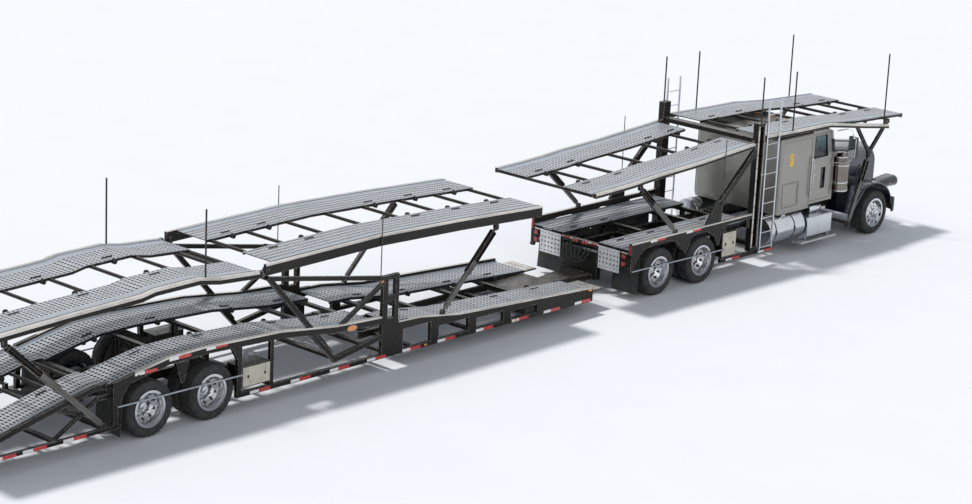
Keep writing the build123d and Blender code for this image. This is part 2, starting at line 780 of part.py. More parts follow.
# Hood with its fenders, grille and headlamp pods, tilting forward
def hood_section(x, width, shoulder, crown, bottom):
    """A slice of the hood: straight sides, rounded shoulders and a crowned top."""
    turn = 150
    rise = (crown - shoulder) * 0.72
    top_y = width - turn
    points = {
        "low": (x, width, bottom), "side": (x, width, shoulder - 60),
        "bend": (x, width - turn * 0.28, shoulder + rise * 0.45),
        "top": (x, top_y, shoulder + rise), "mid": (x, 0, crown),
    }

    def left(name):
        px, py, pz = points[name]
        return (px, -py, pz)

    edges = [
        Line(points["low"], points["side"]),
        ThreePointArc(points["side"], points["bend"], points["top"]),
        ThreePointArc(points["top"], points["mid"], left("top")),
        ThreePointArc(left("top"), left("bend"), left("side")),
        Line(left("side"), left("low")),
        Line(left("low"), points["low"]),
    ]
    return make_face(edges)


def hood_form(inset, rear_x, front_x):
    rear = hood_section(rear_x, 640 - inset, 1800 - inset, 2010 - inset, 880)
    front = hood_section(front_x, 560 - inset, 1420 - inset, 1700 - inset, 880)
    return loft([rear, front])


def fender_outline(inset, drop=0):
    """Closed side outline of a fender, from its rear foot over the wheel to its front foot."""
    foot = 560 - drop
    rear_foot = (10390 + inset, foot)
    rear_knee = (10880 + inset * 0.8, 1040 - inset * 0.6)
    crest = (11230, 1118 - inset)
    brow = (11640 - inset * 0.6, 1000 - inset * 0.8)
    front_knee = (11880 - inset, 760 - inset * 0.3)
    front_foot = (11950 - inset, foot)
    middle = ((brow[0] + front_knee[0]) / 2 + 22, (brow[1] + front_knee[1]) / 2 + 18)
    edges = [
        Line(rear_foot, rear_knee),
        ThreePointArc(rear_knee, crest, brow),
        ThreePointArc(brow, middle, front_knee),
        Line(front_knee, front_foot),
        Line(front_foot, rear_foot),
    ]
    return make_face([Location((0, 0, 0), (1, 0, 0), 90) * edge for edge in edges])


def fender():
    inner_y = 560
    shoulder = [
        # y, how far the outline draws in
        (fender_outer - 24, 0), (fender_outer - 8, 6), (fender_outer, 20),
    ]
    outer = extrude(Pos(0, inner_y, 0) * fender_outline(0), amount=shoulder[0][0] - inner_y, dir=(0, 1, 0))
    outer = outer + loft([Pos(0, y, 0) * fender_outline(inset) for y, inset in shoulder], ruled=True)
    hollow = extrude(Pos(0, inner_y - 1, 0) * fender_outline(fender_wall, 60),
                     amount=fender_outer - inner_y + 2, dir=(0, 1, 0))
    pod_sections = [
        # x, height of the middle, width, height
        (11480, 985, 280, 140), (11900, 1010, 370, 214), (pod_front_x, 1015, 395, 230),
    ]
    faces = [Plane.YZ.offset(x) * Pos(968, z) * SlotOverall(width, height)
             for x, z, width, height in pod_sections]
    pod = loft(faces)
    return fuse([outer - hollow, pod - hollow])


def hood():
    shell = hood_form(0, hood_rear_x, hood_front_x)
    hollow = hood_form(hood_wall, hood_rear_x - 1, hood_front_x - hood_wall)
    below = block((hood_rear_x - 5, hood_front_x - hood_wall), (-600, 600), (700, 881))
    nose = block((hood_front_x - hood_wall, hood_front_x), (-560, 560), (720, 881))
    grille_hole = block((hood_front_x - hood_wall - 5, hood_front_x + 5), (-440, 440), (780, 1480))
    shell = shell - hollow
    shell = fuse([shell, nose]) - grille_hole
    bar_x = (hood_front_x - 22, hood_front_x - 8)
    bars = [block(bar_x, (-442, 442), (z, z + 18)) for z in range(820, 1480, 60)]
    fenders = both_sides(fender())
    engine_room = hood_form(hood_wall, hood_rear_x - 1, hood_front_x - hood_wall)
    px, pz = hood_pivot
    arm_outline = [(px - 40, pz - 40), (px + 40, pz - 40), (hood_front_x - 5, 760), (hood_front_x - 5, 860),
                   (px + 60, pz + 60), (px - 40, pz + 40)]
    arm = side_plate(arm_outline, (rail_outer + 8, 462))
    arm = arm - cross_rod(px, pz, (rail_outer, 470), pin_radius + pin_clearance)
    return fuse([shell, fenders - engine_room, both_sides(arm)] + bars)


write("hood", hood())

# Front bumper, a bent plate across the frame horns
bumper_z = (370, 650)
bumper_plan = [
    (11990, 1180), (12130, 1120), (front_end_x, 900), (front_end_x, -900), (12130, -1120), (11990, -1180),
    (11965, -1150), (12105, -1090), (front_end_x - 30, -880), (front_end_x - 30, 880), (12105, 1090),
    (11965, 1150),
]
horn_x = (frame_front_x, front_end_x - 30)
horn = both_sides(block(horn_x, (rail_inner, rail_outer), (chassis_bottom, bumper_z[1])))
write("front_bumper", plan_plate(bumper_plan, bumper_z) + horn)


# Trailer side frames, nose, post, struts and bogie frame
trailer_rail_line = [(-2910, 850), (-2370, 830), (-1370, 690), (2180, 510)]
bogie_rail_line = [
    (-9040, 1040), (-8600, 1120), (-8410, 1160), (-7930, 1240), (-7200, 1260), (-5590, 1200),
    (-4360, 1050), (-3290, 1000),
]
nose_x = 2180
post_x = (-3290, -2910)
post_top = 1700
belly_bottom = 250
knee = (-5860, 2120)
rear_rail_z = (290, 350)
rear_rail_end_x = -11350


front_track_line = [(-2900, 780), (-2370, 760), (-1370, 620), (nose_x, 440)]
bogie_track_line = [(-9020, 985), (-8410, 1110), (-7930, 1190), (-7200, 1205), (-5590, 1145),
                    (-4360, 990), (-3400, 930)]


def track_seat(line, x):
    """The height under a track's lips over a cross beam that starts at x."""
    return min(height_on(line, x), height_on(line, x + 80)) - track_flange


def track_beam(line, x):
    """A cross beam from side to side that the tracks lie on."""
    top = track_seat(line, x)
    return block((x, x + 80), (-side_inner, side_inner), (top - 60, top))


def trailer_frame():
    y = (side_inner, side_outer)
    front = side_plate([(post_x[1], belly_bottom), (nose_x, belly_bottom)] + trailer_rail_line[::-1], y)
    windows = [(-2780, -2100), (-1900, -1150), (-950, -250), (-50, 650)]
    for x0, x1 in windows:
        lintel = height_on(trailer_rail_line, x1) - 110
        front = front - block((x0, x1), (y[0] - 1, y[1] + 1), (belly_bottom + 75, lintel))
    post = block(post_x, y, (belly_bottom, post_top))
    for z in (900, 1300):
        post = post - block((post_x[0] + 120, post_x[1] - 90), (y[0] - 1, y[1] + 1), (z + 40, z + 340))
    bogie_bottom = [(x, z - 130) for x, z in bogie_rail_line]
    bogie = side_plate(bogie_rail_line + bogie_bottom[::-1], y)
    legs = [
        side_plate([(-9040, 1030), (-9040, 560), (-8960, 560), (-8850, 800), (-8700, 990), (-8600, 1040)], y),
        side_plate([(-7800, 1110), (-7700, 760), (-7640, 760), (-7540, 1110)], y),
        side_plate([(-6640, 1110), (-6520, 900), (-6500, 560), (-6430, 560), (-6430, 1100)], y),
    ]
    lower_rail = block((-6530, post_x[0]), y, (belly_bottom, 330))
    struts = [
        bar((-6480, 330), (-6480, 600), y, 90),
        bar((-5780, 300), (-5780, 1080), y, 70),
        bar((-4900, 1000), (-4350, 440), y, 80),
        bar((-4400, 450), (-3280, 640), y, 90),
        bar((-3300, 1560), (-4300, 980), brace_y, 75),
        bar((-3230, post_top - 40), (knee[0], knee[1]), brace_y, 75),
        bar((-4600, 760), (knee[0] + 10, knee[1] - 10), brace_y, 90),
        bar((-4600, 760), (-4440, 560), brace_y, 90),
    ]
    locker = block((-6425, -5815), (900, side_outer), (400, 750))
    guard = rod((-8960, guard_y, 645), (-6430, guard_y, 630), guard_radius)
    tabs = [block((x, x + 30), (side_outer - 5, lug_end_y), (z - 20, z + 20))
            for x, z in ((-8990, 645), (-6460, 630))]
    rear_rail = block((rear_rail_end_x, -8890), y, rear_rail_z)
    rear_upright = bar((-8990, 320), (-8990, 620), y, 90)
    rear_braces = [
        bar((-10090, 330), (-9250, 810), (ramp_outer - 55, ramp_outer - 5), 50),
        block((-9270, -9020), (ramp_outer - 55, ramp_outer - 5), (780, 850)),
        block((ramp_hinge[0] - 40, -9030), (ramp_outer + 7, side_inner + 5), (945, 1025)),
        cross_rod(ramp_hinge[0], ramp_hinge[1], (ramp_outer - 63, side_inner - 5), pin_radius),
        rod((-3380, stay_y, post_top - 140), (-3380, stay_y, 2770), 9),
        block((-3390, -3270), (side_outer - 15, lug_end_y), (post_top - 140, post_top - 100)),
        block((rear_rail_end_x, rear_rail_end_x + 70), y, (350, 430)),
    ]
    one_side = fuse([front, post, bogie, lower_rail, locker, guard, rear_rail, rear_upright]
                    + legs + struts + tabs + rear_braces)
    pieces = [both_sides(one_side)]
    tongue = plan_plate([(nose_x - 20, -side_inner), (nose_x - 20, side_inner), (1200, side_inner),
                         (900, 350), (900, -350), (1200, -side_inner)],
                        (coupling_plate_bottom, coupling_plate_bottom + 30))
    pin = rod((pivot_x, 0, stinger_bottom), (pivot_x, 0, coupling_plate_bottom), kingpin_radius)
    spine_z = (coupling_plate_bottom - 60, coupling_plate_bottom + 60)
    spine = both_sides(block((post_x[1], 1000), (300, 350), spine_z))
    pieces += [tongue, pin, spine]
    for x, z in ((400, 300), (-1100, 300), (-2600, 300), (-3180, 300), (-4400, 450), (-5800, 300)):
        pieces.append(block((x, x + 80), (-side_inner, side_inner), (z, z + 60)))
    for x in (-2480, -1500, -200, 900):
        pieces.append(track_beam(front_track_line, x))
    for x in (-3500, -4400, -6480, -7710, -9020):
        pieces.append(track_beam(bogie_track_line, x))
    bogie_rail = block((-9020, -6400), (rail_inner, rail_outer), (chassis_bottom, 700))
    risers = [block((x, x + 80), (rail_inner, rail_outer), (700, track_seat(bogie_track_line, x) - 50))
              for x in (-6480, -7710, -9020)]
    pieces.append(both_sides(fuse([bogie_rail] + risers)))
    skid = both_sides(block((nose_x - 60, 2600), (520, side_inner - 45),
                            (coupling_plate_bottom + 12, coupling_plate_bottom + 34)))
    pieces.append(skid)
    pieces.append(block((rear_rail_end_x, rear_rail_end_x + 60), (-side_inner, side_inner), rear_rail_z))
    for x in (-10130, -9190):
        pieces.append(block((x, x + 80), (-side_inner, side_inner), rear_rail_z))
    pieces.append(cross_rod(knee[0], knee[1], (-brace_y[1], brace_y[1]), 42))
    pieces.append(pivot_lugs(front_deck_hinge, [(knee[0] + 36, knee[1]), (knee[0] - 40, knee[1])]))
    pieces.append(pivot_lugs(rear_deck_hinge, [(knee[0], knee[1] + 20), (knee[0], knee[1] - 30)]))
    pieces.append(base_pins(front_arm_base, height_on(trailer_rail_line, front_arm_base[0]) - 20))
    pieces.append(base_pins(rear_arm_base, rear_rail_z[1] - 5))
    pieces.append(base_pins(ramp_base, rear_rail_z[1] - 5, ramp_cylinder_y))
    return fuse(pieces)


write("trailer_frame", trailer_frame())

write("trailer_lower_tracks", fuse([track_along(front_track_line, 0), track_along(bogie_track_line, 0)]))

trailer_axles = [dual_axle(x, chassis_bottom, False) for x in (front_trailer_axle_x, rear_trailer_axle_x)]
write("trailer_axles", fuse(trailer_axles))


# Decks that swing
def swing_deck(rail_line, rail_depth, track_line, cross, hinge):
    """Side rails with hinge eyes, wheel tracks and cross tubes, all one welded deck."""
    rails = both_sides(rail_along(rail_line, rail_depth, (side_inner, side_outer)))
    eye = cross_rod(hinge[0], hinge[1], (side_inner, side_outer), 40)
    neck_x = rail_line[0][0]
    neck_z = rail_line[0][1]
    neck = block(sorted((hinge[0], neck_x)), (side_inner, side_outer), (neck_z - rail_depth, neck_z))
    bore = cross_rod(hinge[0], hinge[1], (side_inner - 1, side_outer + 1), pin_radius + pin_clearance)
    pieces = [rails, both_sides(eye)]
    pieces.append(both_sides(neck))
    pieces.append(track_along(track_line, 0))
    for x, z in cross:
        pieces.append(cross_rod(x, z, (-side_inner - 5, side_inner + 5), 30))
    return fuse(pieces) - both_sides(bore)


def cross_places(line, places, below):
    """Places for cross tubes, a depth below a line of (x, z) points."""
    return [(x, height_on(line, x) - below) for x in places]


# Upper deck of the tractor, behind the cab
tractor_deck_rails = [(6850, 2580), (5140, 2450), (3920, 2390), (3200, 2330), (2120, 2290)]
tractor_deck_tracks = [(x, z - 20) for x, z in [(6800, 2576)] + tractor_deck_rails[1:]]
tractor_deck = swing_deck(
    tractor_deck_rails, 90, tractor_deck_tracks,
    cross_places(tractor_deck_tracks, (6400, 5500, 4500, 3600, 2900, 2160), 45), tractor_hinge)
write("tractor_deck", tractor_deck + eye_pins(tractor_arm_eye, 2262))

# Deck over the cab, with its Y legs
headrack_rails = [(7230, 2680), (8160, 2660), (9370, 2650), (10510, 2480), (11460, 2350)]
headrack_tracks = [(7260, 2665), (8160, 2645), (9370, 2635), (10400, 2550), (12040, 2485)]


def y_leg():
    y = brace_y
    junction = block((10775, 10905), (side_inner + 1, side_outer - 1), (1815, 1870))
    front_arm = bar((10860, 1850), (11420, 2430), y, 80)
    rear_arm = bar((10820, 1850), (10340, 2440), y, 70)
    cap = block((11370, 11460), (track_outer - 5, side_outer - 3), (2380, 2470))
    return fuse([junction, front_arm, rear_arm, cap])


def headrack():
    cross = cross_places(headrack_tracks, (7500, 8500, 9300, 10100, 10700, 11400, 12000), 45)
    frame = swing_deck(headrack_rails, 85, headrack_tracks, cross[:5], headrack_hinge)
    front_tubes = [cross_rod(x, z, (-track_outer, track_outer), 28) for x, z in cross[5:]]
    uprights = [rod((x, upright_y, z - 30), (x, upright_y, 3860), post_radius)
                for x, z in ((8100, 2650), (11300, 2370))]
    return fuse([frame] + front_tubes + [both_sides(y_leg()), eye_pins(leg_eye, 1820),
                                         both_sides(fuse(uprights))])


write("headrack", headrack())

# Front upper deck of the trailer, pinned at the knee beam
front_deck_rails = [(-5950, 2380), (-3390, 2440), (-1470, 2390), (650, 2300)]
front_deck_tracks = [(-5740, 2370), (-3390, 2425), (-1470, 2375), (650, 2285)]
front_deck = swing_deck(
    front_deck_rails, 190, front_deck_tracks,
    cross_places(front_deck_tracks, (-5600, -4800, -3900, -3000, -2100, -1200, -300, 600), 45),
    front_deck_hinge)
write("trailer_front_deck", front_deck + eye_pins(front_arm_eye, 2165))

# Rear upper deck of the trailer, pinned beside it
rear_deck_rails = [(-6090, 2290), (-6920, 2340), (-7330, 2410), (-8220, 2390), (-8490, 2340), (-9950, 2290),
                   (-11130, 2230), (rear_end_x + 60, 2170)]
rear_deck_tracks = [(x, z - 20) for x, z in rear_deck_rails]
rear_deck = swing_deck(
    rear_deck_rails, 115, rear_deck_tracks,
    cross_places(rear_deck_tracks, (-6300, -7200, -8100, -8900, -9800, -10700, -11400, rear_end_x + 110), 45),
    rear_deck_hinge)
rear_uprights = both_sides(rod((-7200, upright_y, 2330), (-7200, upright_y, 3490), post_radius))
write("trailer_rear_deck", rear_deck + eye_pins(rear_arm_eye, 2125) + rear_uprights)

# Tilting rear ramp, narrower, between the rear arms
ramp_line = [(-9080, 1040), (-9300, 1035), (-9670, 960), (-10410, 790), (-11140, 610), (rear_end_x + 10, 415)]


def ramp():
    y = (ramp_outer - 65, ramp_outer)
    rails = rail_along(ramp_line, 95, y) + cross_rod(ramp_hinge[0], ramp_hinge[1], y, 42)
    rails = rails - cross_rod(ramp_hinge[0], ramp_hinge[1], (y[0] - 1, y[1] + 1), pin_radius + pin_clearance)
    top = [(x, z - 20) for x, z in ramp_line]
    sheet = rail_along(top, track_thickness, (track_inner, y[0]))
    lip = rail_along(top, track_flange, (track_inner, track_inner + track_thickness))
    pieces = [both_sides(fuse([rails, sheet, lip]))]
    for x in (-9250, -9700, -10100, -10700, -11300, -11900):
        z = height_on(ramp_line, x) - 62
        pieces.append(cross_rod(x, z, (-y[0] - 5, y[0] + 5), 28))
    tail = block((rear_end_x, rear_end_x + 60), (-ramp_outer, ramp_outer), (330, 440))
    pieces.append(tail)
    pieces.append(eye_pins(ramp_eye, height_on(ramp_line, ramp_eye[0]) - 70, ramp_cylinder_y))
    return fuse(pieces)


write("rear_ramp", ramp())

# Cylinders of every deck
cylinders = [
    # name, base pin, eye, barrel length, how far the rod draws in, where its arm starts, y of the left one
    ("tractor_deck", tractor_arm_base, tractor_arm_eye, 960, 230, 680, cylinder_y),
    ("headrack", leg_base, leg_eye, 900, 10, 640, cylinder_y),
    ("front_deck", front_arm_base, front_arm_eye, 1080, 280, 820, cylinder_y),
    ("rear_deck", rear_arm_base, rear_arm_eye, 1560, 250, 1100, cylinder_y),
    ("ramp", ramp_base, ramp_eye, 560, 30, 0, ramp_cylinder_y),
]
for name, base, eye, barrel_length, draw_in, arm_start, y in cylinders:
    barrels, rods = cylinder_pair(base, eye, barrel_length, draw_in, arm_start, y)
    write(name + "_barrels", barrels)
    write(name + "_rods", rods)
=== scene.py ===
import json
import math
from itertools import product

import bmesh
import bpy
from mathutils import Matrix, Vector


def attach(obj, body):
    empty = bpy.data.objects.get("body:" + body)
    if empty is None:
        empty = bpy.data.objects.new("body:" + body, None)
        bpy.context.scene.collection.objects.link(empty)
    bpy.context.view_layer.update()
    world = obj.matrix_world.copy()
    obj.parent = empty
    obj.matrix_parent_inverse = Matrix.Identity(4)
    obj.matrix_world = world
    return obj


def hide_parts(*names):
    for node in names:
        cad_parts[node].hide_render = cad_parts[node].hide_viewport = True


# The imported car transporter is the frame. Metres; x forward, y to the left, z up.
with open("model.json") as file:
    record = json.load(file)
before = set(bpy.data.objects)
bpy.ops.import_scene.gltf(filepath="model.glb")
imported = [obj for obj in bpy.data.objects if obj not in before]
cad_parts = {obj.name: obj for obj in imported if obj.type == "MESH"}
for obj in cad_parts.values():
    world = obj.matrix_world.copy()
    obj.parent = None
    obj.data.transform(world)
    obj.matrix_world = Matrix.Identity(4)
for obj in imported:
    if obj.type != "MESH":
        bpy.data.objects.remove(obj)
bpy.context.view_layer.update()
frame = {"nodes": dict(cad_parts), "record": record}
nodes = frame["nodes"]

# Places shared with the frame
SIDE_OUTER = 1.265
SIDE_CLEAR = SIDE_OUTER + 0.0002
TRACK_INNER = 0.45
TRACK_OUTER = 1.185
TYRE_RADIUS = 0.46
DUAL_OUTER_Y = 1.12
DUAL_SPACING = 0.33
STEER_X = 11.3
STEER_Y = 1.06
DUAL_AXLES = {"front_drive": 5.4, "rear_drive": 4.1, "front_trailer": -7.04, "rear_trailer": -8.3}
SIDES = {"left": 1, "right": -1}
ALONG = (1, 0, 0)
ACROSS = (0, 1, 0)
UP = (0, 0, 1)


def circle(count, turn=0.0):
    """The cosine and sine of evenly spaced angles round a circle."""
    angles = [2 * math.pi * (k + turn) / count for k in range(count)]
    return [(math.cos(a), math.sin(a)) for a in angles]


def band(one, two, count):
    """The faces between two rings of points, each ring given by the number of its first point."""
    return [(one + k, one + (k + 1) % count, two + (k + 1) % count, two + k) for k in range(count)]


# Meshes
WIDEST_CHAMFER = 0.45
MERGE_DISTANCE = 0.00002
SHARP_DEGREES = 38


class Mesh:
    """Points and faces gathered for one piece."""

    def __init__(self):
        self.verts = []
        self.faces = []
        self.smooth = []
        self.slots = []
        self.slot = 0

    def add(self, verts, faces, smooth=False):
        base = len(self.verts)
        self.verts += [Vector(v) for v in verts]
        self.faces += [tuple(base + i for i in face) for face in faces]
        self.smooth += [smooth] * len(faces)
        self.slots += [self.slot] * len(faces)

    def chamfered(self, centre, axes, half, chamfer):
        """A box with chamfered edges, along three given axes: three points at each of its corners."""
        axes = [Vector(a) for a in axes]
        chamfer = min([chamfer] + [h * WIDEST_CHAMFER for h in half])
        verts = []
        for corner in product((-1, 1), repeat=3):
            for k in range(3):
                place = Vector(centre)
                for j in range(3):
                    place += axes[j] * corner[j] * (half[j] if j == k else half[j] - chamfer)
                verts.append(place)
        faces = []
        # The step in the list of points from one corner to the next is 12, 6 or 3 along the three axes
        for (k, across), (i, one), (j, two) in (((0, 12), (1, 6), (2, 3)), ((1, 6), (0, 12), (2, 3)),
                                                ((2, 3), (0, 12), (1, 6))):
            for start in (k, k + across):
                faces.append((start, start + one, start + one + two, start + two))
            for low in (0, two, one, one + two):
                high = low + across
                faces.append((low + i, high + i, high + j, low + j))
        faces += [(n, n + 1, n + 2) for n in range(0, len(verts), 3)]
        self.add(verts, faces)

    def box(self, x, y, z, chamfer=0.003):
        """A chamfered box between two x, two y and two z values."""
        centre = [(a + b) / 2 for a, b in (x, y, z)]
        half = [abs(b - a) / 2 for a, b in (x, y, z)]
        self.chamfered(centre, (ALONG, ACROSS, UP), half, chamfer)

    def beam(self, start, end, width, depth, chamfer=0.003, across=ACROSS):
        """A chamfered bar from one point to another, its width along the across direction."""
        start, end = Vector(start), Vector(end)
        along = (end - start).normalized()
        side = (Vector(across) - along * along.dot(Vector(across))).normalized()
        up = along.cross(side)
        half = ((end - start).length / 2, width / 2, depth / 2)
        self.chamfered((start + end) / 2, (along, side, up), half, chamfer)

    def tube(self, points, radius, sides=8, caps=True):
        """A round bar through a list of points, with its joints mitred."""
        points = [Vector(p) for p in points]
        tangents = []
        for i, p in enumerate(points):
            before = points[max(i - 1, 0)]
            after = points[min(i + 1, len(points) - 1)]
            tangents.append((after - before).normalized())
        helper = Vector(UP if abs(tangents[0].z) < 0.9 else ALONG)
        normal = tangents[0].cross(helper).normalized()
        verts = []
        for p, t in zip(points, tangents):
            normal = (normal - t * normal.dot(t)).normalized()
            binormal = t.cross(normal)
            verts += [p + (normal * c + binormal * s) * radius for c, s in circle(sides)]
        faces = []
        for start in range(0, len(verts) - sides, sides):
            faces += band(start, start + sides, sides)
        self.add(verts, faces, smooth=True)
        if caps:
            for end in (verts[:sides], verts[-sides:]):
                self.add(end, [tuple(range(sides))])

    def swept(self, line, section):
        """A bar with a given (y, height) section, along a line of (x, z) points."""
        count = len(section)
        last = (len(line) - 1) * count
        faces = []
        for start in range(0, last, count):
            faces += band(start, start + count, count)
        faces += [tuple(range(count)), tuple(range(last, last + count))]
        self.add([(x, y, z + rise) for x, z in line for y, rise in section], faces)

    def turned(self, centre, axis, profile, segments=24, smooth=True):
        """A turned shape about an axis, from (radius, along) points; a radius of 0 closes it."""
        centre, axis = Vector(centre), Vector(axis).normalized()
        u = axis.cross(Vector(UP if abs(axis.z) < 0.9 else ALONG)).normalized()
        v = axis.cross(u)
        verts = []
        rings = []
        for radius, along in profile:
            middle = centre + axis * along
            ring = [middle + (u * c + v * s) * radius for c, s in circle(segments if radius else 1)]
            rings.append((len(verts), len(ring)))
            verts += ring
        faces = []
        for (one, one_count), (two, two_count) in zip(rings, rings[1:]):
            if one_count > 1 and two_count > 1:
                faces += band(one, two, segments)
            elif two_count > 1:
                faces += [(one, two + k, two + (k + 1) % segments) for k in range(segments)]
            elif one_count > 1:
                faces += [(one + k, one + (k + 1) % segments, two) for k in range(segments)]
        self.add(verts, faces, smooth)

    def bolt(self, place, axis, radius=0.012, height=0.01):
        """A hexagon bolt head on its washer."""
        self.turned(place, axis, [(radius * 1.5, 0), (radius * 1.5, 0.003), (radius, 0.003)], 10, False)
        self.turned(place, axis, [(radius, 0.003), (radius, height), (radius * 0.8, height + 0.002),
                                  (0, height + 0.002)], 6, False)

    def both_sides(self):
        """Adds the mirror image of everything on the other side of the truck."""
        count = len(self.verts)
        self.verts += [Vector((v.x, -v.y, v.z)) for v in self.verts]
        self.faces += [tuple(count + i for i in reversed(face)) for face in self.faces]
        self.smooth += list(self.smooth)
        self.slots += list(self.slots)
        return self

    def data(self, name):
        mesh = bpy.data.meshes.new(name)
        mesh.from_pydata(self.verts, [], self.faces)
        mesh.polygons.foreach_set("use_smooth", self.smooth)
        mesh.polygons.foreach_set("material_index", self.slots)
        work = bmesh.new()
        work.from_mesh(mesh)
        bmesh.ops.remove_doubles(work, verts=work.verts, dist=MERGE_DISTANCE)
        bmesh.ops.recalc_face_normals(work, faces=work.faces)
        work.to_mesh(mesh)
        work.free()
        mesh.set_sharp_from_angle(angle=math.radians(SHARP_DEGREES))
        return mesh


def piece(name, shape, materials, body):
    """Makes an object of a gathered mesh, and lets it ride on a body."""
    data = shape.data(name) if isinstance(shape, Mesh) else shape
    materials = materials if isinstance(materials, (list, tuple)) else [materials]
    if not data.materials:
        for material in materials:
            data.materials.append(material)
    item = bpy.data.objects.new(name, data)
    bpy.context.scene.collection.objects.link(item)
    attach(item, body)
    return item


def both(name, shape, materials, body):
    """Makes one object of a gathered mesh and its mirror image on the other side."""
    return piece(name, shape.both_sides(), materials, body)


def around(middle, half):
    """The two ends of a span about its middle."""
    return (middle - half, middle + half)


# Materials. A Mix node has its colours in the sockets 6 and 7, and gives the mixed one in socket 2.
MIX_ONE, MIX_TWO, MIX_RESULT = 6, 7, 2


def add_node(tree, kind, inputs=None, **settings):
    """Adds a node; each of its inputs, by name or number, gets a value or is joined to a socket."""
    node = tree.nodes.new(kind)
    for key, value in settings.items():
        setattr(node, key, value)
    for key, value in (inputs or {}).items():
        if isinstance(value, bpy.types.NodeSocket):
            tree.links.new(value, node.inputs[key])
        else:
            node.inputs[key].default_value = value
    return node


def dimmed(tone, share, lift=0.0):
    """A tone made darker, and then lifted a little."""
    return tuple(c * share + lift for c in tone)


class Shader:
    """A node material built round one Principled shader."""

    def __init__(self, name, **values):
        self.material = bpy.data.materials.new(name)
        self.material.use_nodes = True
        self.tree = self.material.node_tree
        self.tree.nodes.clear()
        values = {key.replace("_", " "): value for key, value in values.items()}
        self.surface = self.add("ShaderNodeBsdfPrincipled", values)
        self.add("ShaderNodeOutputMaterial", {"Surface": self.surface.outputs[0]})
        self.place = self.add("ShaderNodeTexCoord").outputs["Object"]
        self.normal = self.add("ShaderNodeNewGeometry").outputs["Normal"]

    def add(self, kind, inputs=None, **settings):
        return add_node(self.tree, kind, inputs, **settings)

    def noise(self, scale, detail=4.0, rough=0.55, stretch=None):
        place = self.place
        if stretch is not None:
            place = self.add("ShaderNodeMapping", {"Scale": stretch, "Vector": place}).outputs[0]
        values = {"Scale": scale, "Detail": detail, "Roughness": rough, "Vector": place}
        return self.add("ShaderNodeTexNoise", values).outputs["Fac"]

    def cells(self, scale, output="Distance"):
        values = {"Scale": scale, "Vector": self.place}
        return self.add("ShaderNodeTexVoronoi", values, feature="F1").outputs[output]

    def span(self, value, low, high, out_low=0.0, out_high=1.0):
        """Maps a value from one span to another, held at the ends."""
        values = {"Value": value, "From Min": low, "From Max": high, "To Min": out_low, "To Max": out_high}
        return self.add("ShaderNodeMapRange", values, clamp=True).outputs[0]

    def math(self, kind, one, two):
        return self.add("ShaderNodeMath", {0: one, 1: two}, operation=kind).outputs[0]

    def times(self, one, two):
        return self.math("MULTIPLY", one, two)

    def mix(self, factor, one, two):
        one, two = ((*value, 1.0) if isinstance(value, tuple) else value for value in (one, two))
        node = self.add("ShaderNodeMix", {"Factor": factor, MIX_ONE: one, MIX_TWO: two}, data_type="RGBA")
        return node.outputs[MIX_RESULT]

    def normal_z(self):
        return self.add("ShaderNodeSeparateXYZ", {0: self.normal}).outputs["Z"]

    def edges(self, radius):
        """1 near an edge and 0 on a flat face."""
        bevel = self.add("ShaderNodeBevel", {"Radius": radius}, samples=4).outputs[0]
        dot = self.add("ShaderNodeVectorMath", {0: bevel, 1: self.normal}, operation="DOT_PRODUCT")
        return self.span(dot.outputs["Value"], 0.995, 0.86)

    def feed(self, key, source):
        self.tree.links.new(source, self.surface.inputs[key])

    def colour(self, value):
        self.feed("Base Color", value)

    def roughness(self, value):
        self.feed("Roughness", value)

    def uneven(self, scale, detail, smooth, rough):
        """A roughness that wanders between two values."""
        self.roughness(self.span(self.noise(scale, detail), 0.3, 0.7, smooth, rough))

    def bump(self, height, strength, distance):
        values = {"Strength": strength, "Distance": distance, "Height": height}
        self.feed("Normal", self.add("ShaderNodeBump", values).outputs[0])


def worn_paint(name, base, light, bare, wear, edge_radius=0.01, gloss=0.3, top_wear=0.0):
    """Paint with patches, chipped bright edges and scuffed tops."""
    s = Shader(name, Coat_Weight=0.05, Coat_Roughness=0.12, Specular_IOR_Level=0.18)
    patches = s.span(s.noise(1.6, 5), 0.35, 0.7)
    tone = s.mix(patches, base, light)
    chips = s.span(s.noise(24, 6, 0.65), 0.4, 0.62)
    edge = s.times(s.times(s.edges(edge_radius), chips), wear)
    scuff = s.span(s.noise(16, 8, 0.7, (0.6, 2.2, 2.2)), 0.34, 0.62)
    top = s.times(s.times(s.span(s.normal_z(), 0.75, 0.97), scuff), top_wear)
    bright = s.math("MAXIMUM", edge, top)
    s.colour(s.mix(bright, tone, bare))
    s.feed("Metallic", s.times(bright, 0.75))
    s.uneven(14, 5, gloss, gloss + 0.25)
    s.bump(s.noise(70, 3), 0.25, 0.002)
    return s.material


def galvanised(name, base, light, rough=0.42, metallic=0.45, streaks=0.35):
    """Zinc coated sheet with spangles and dull streaks."""
    s = Shader(name, Metallic=metallic)
    spangle = s.span(s.cells(38, output="Color"), 0.0, 1.0)
    streak = s.span(s.noise(3.5, 6, 0.6, (0.5, 3, 1)), 0.42, 0.75)
    tone = s.mix(s.times(spangle, 0.6), base, light)
    s.colour(s.mix(s.times(streak, streaks), tone, (0.2, 0.185, 0.17)))
    s.uneven(18, 5, rough - 0.1, rough + 0.14)
    s.bump(s.noise(45, 4), 0.3, 0.0015)
    return s.material


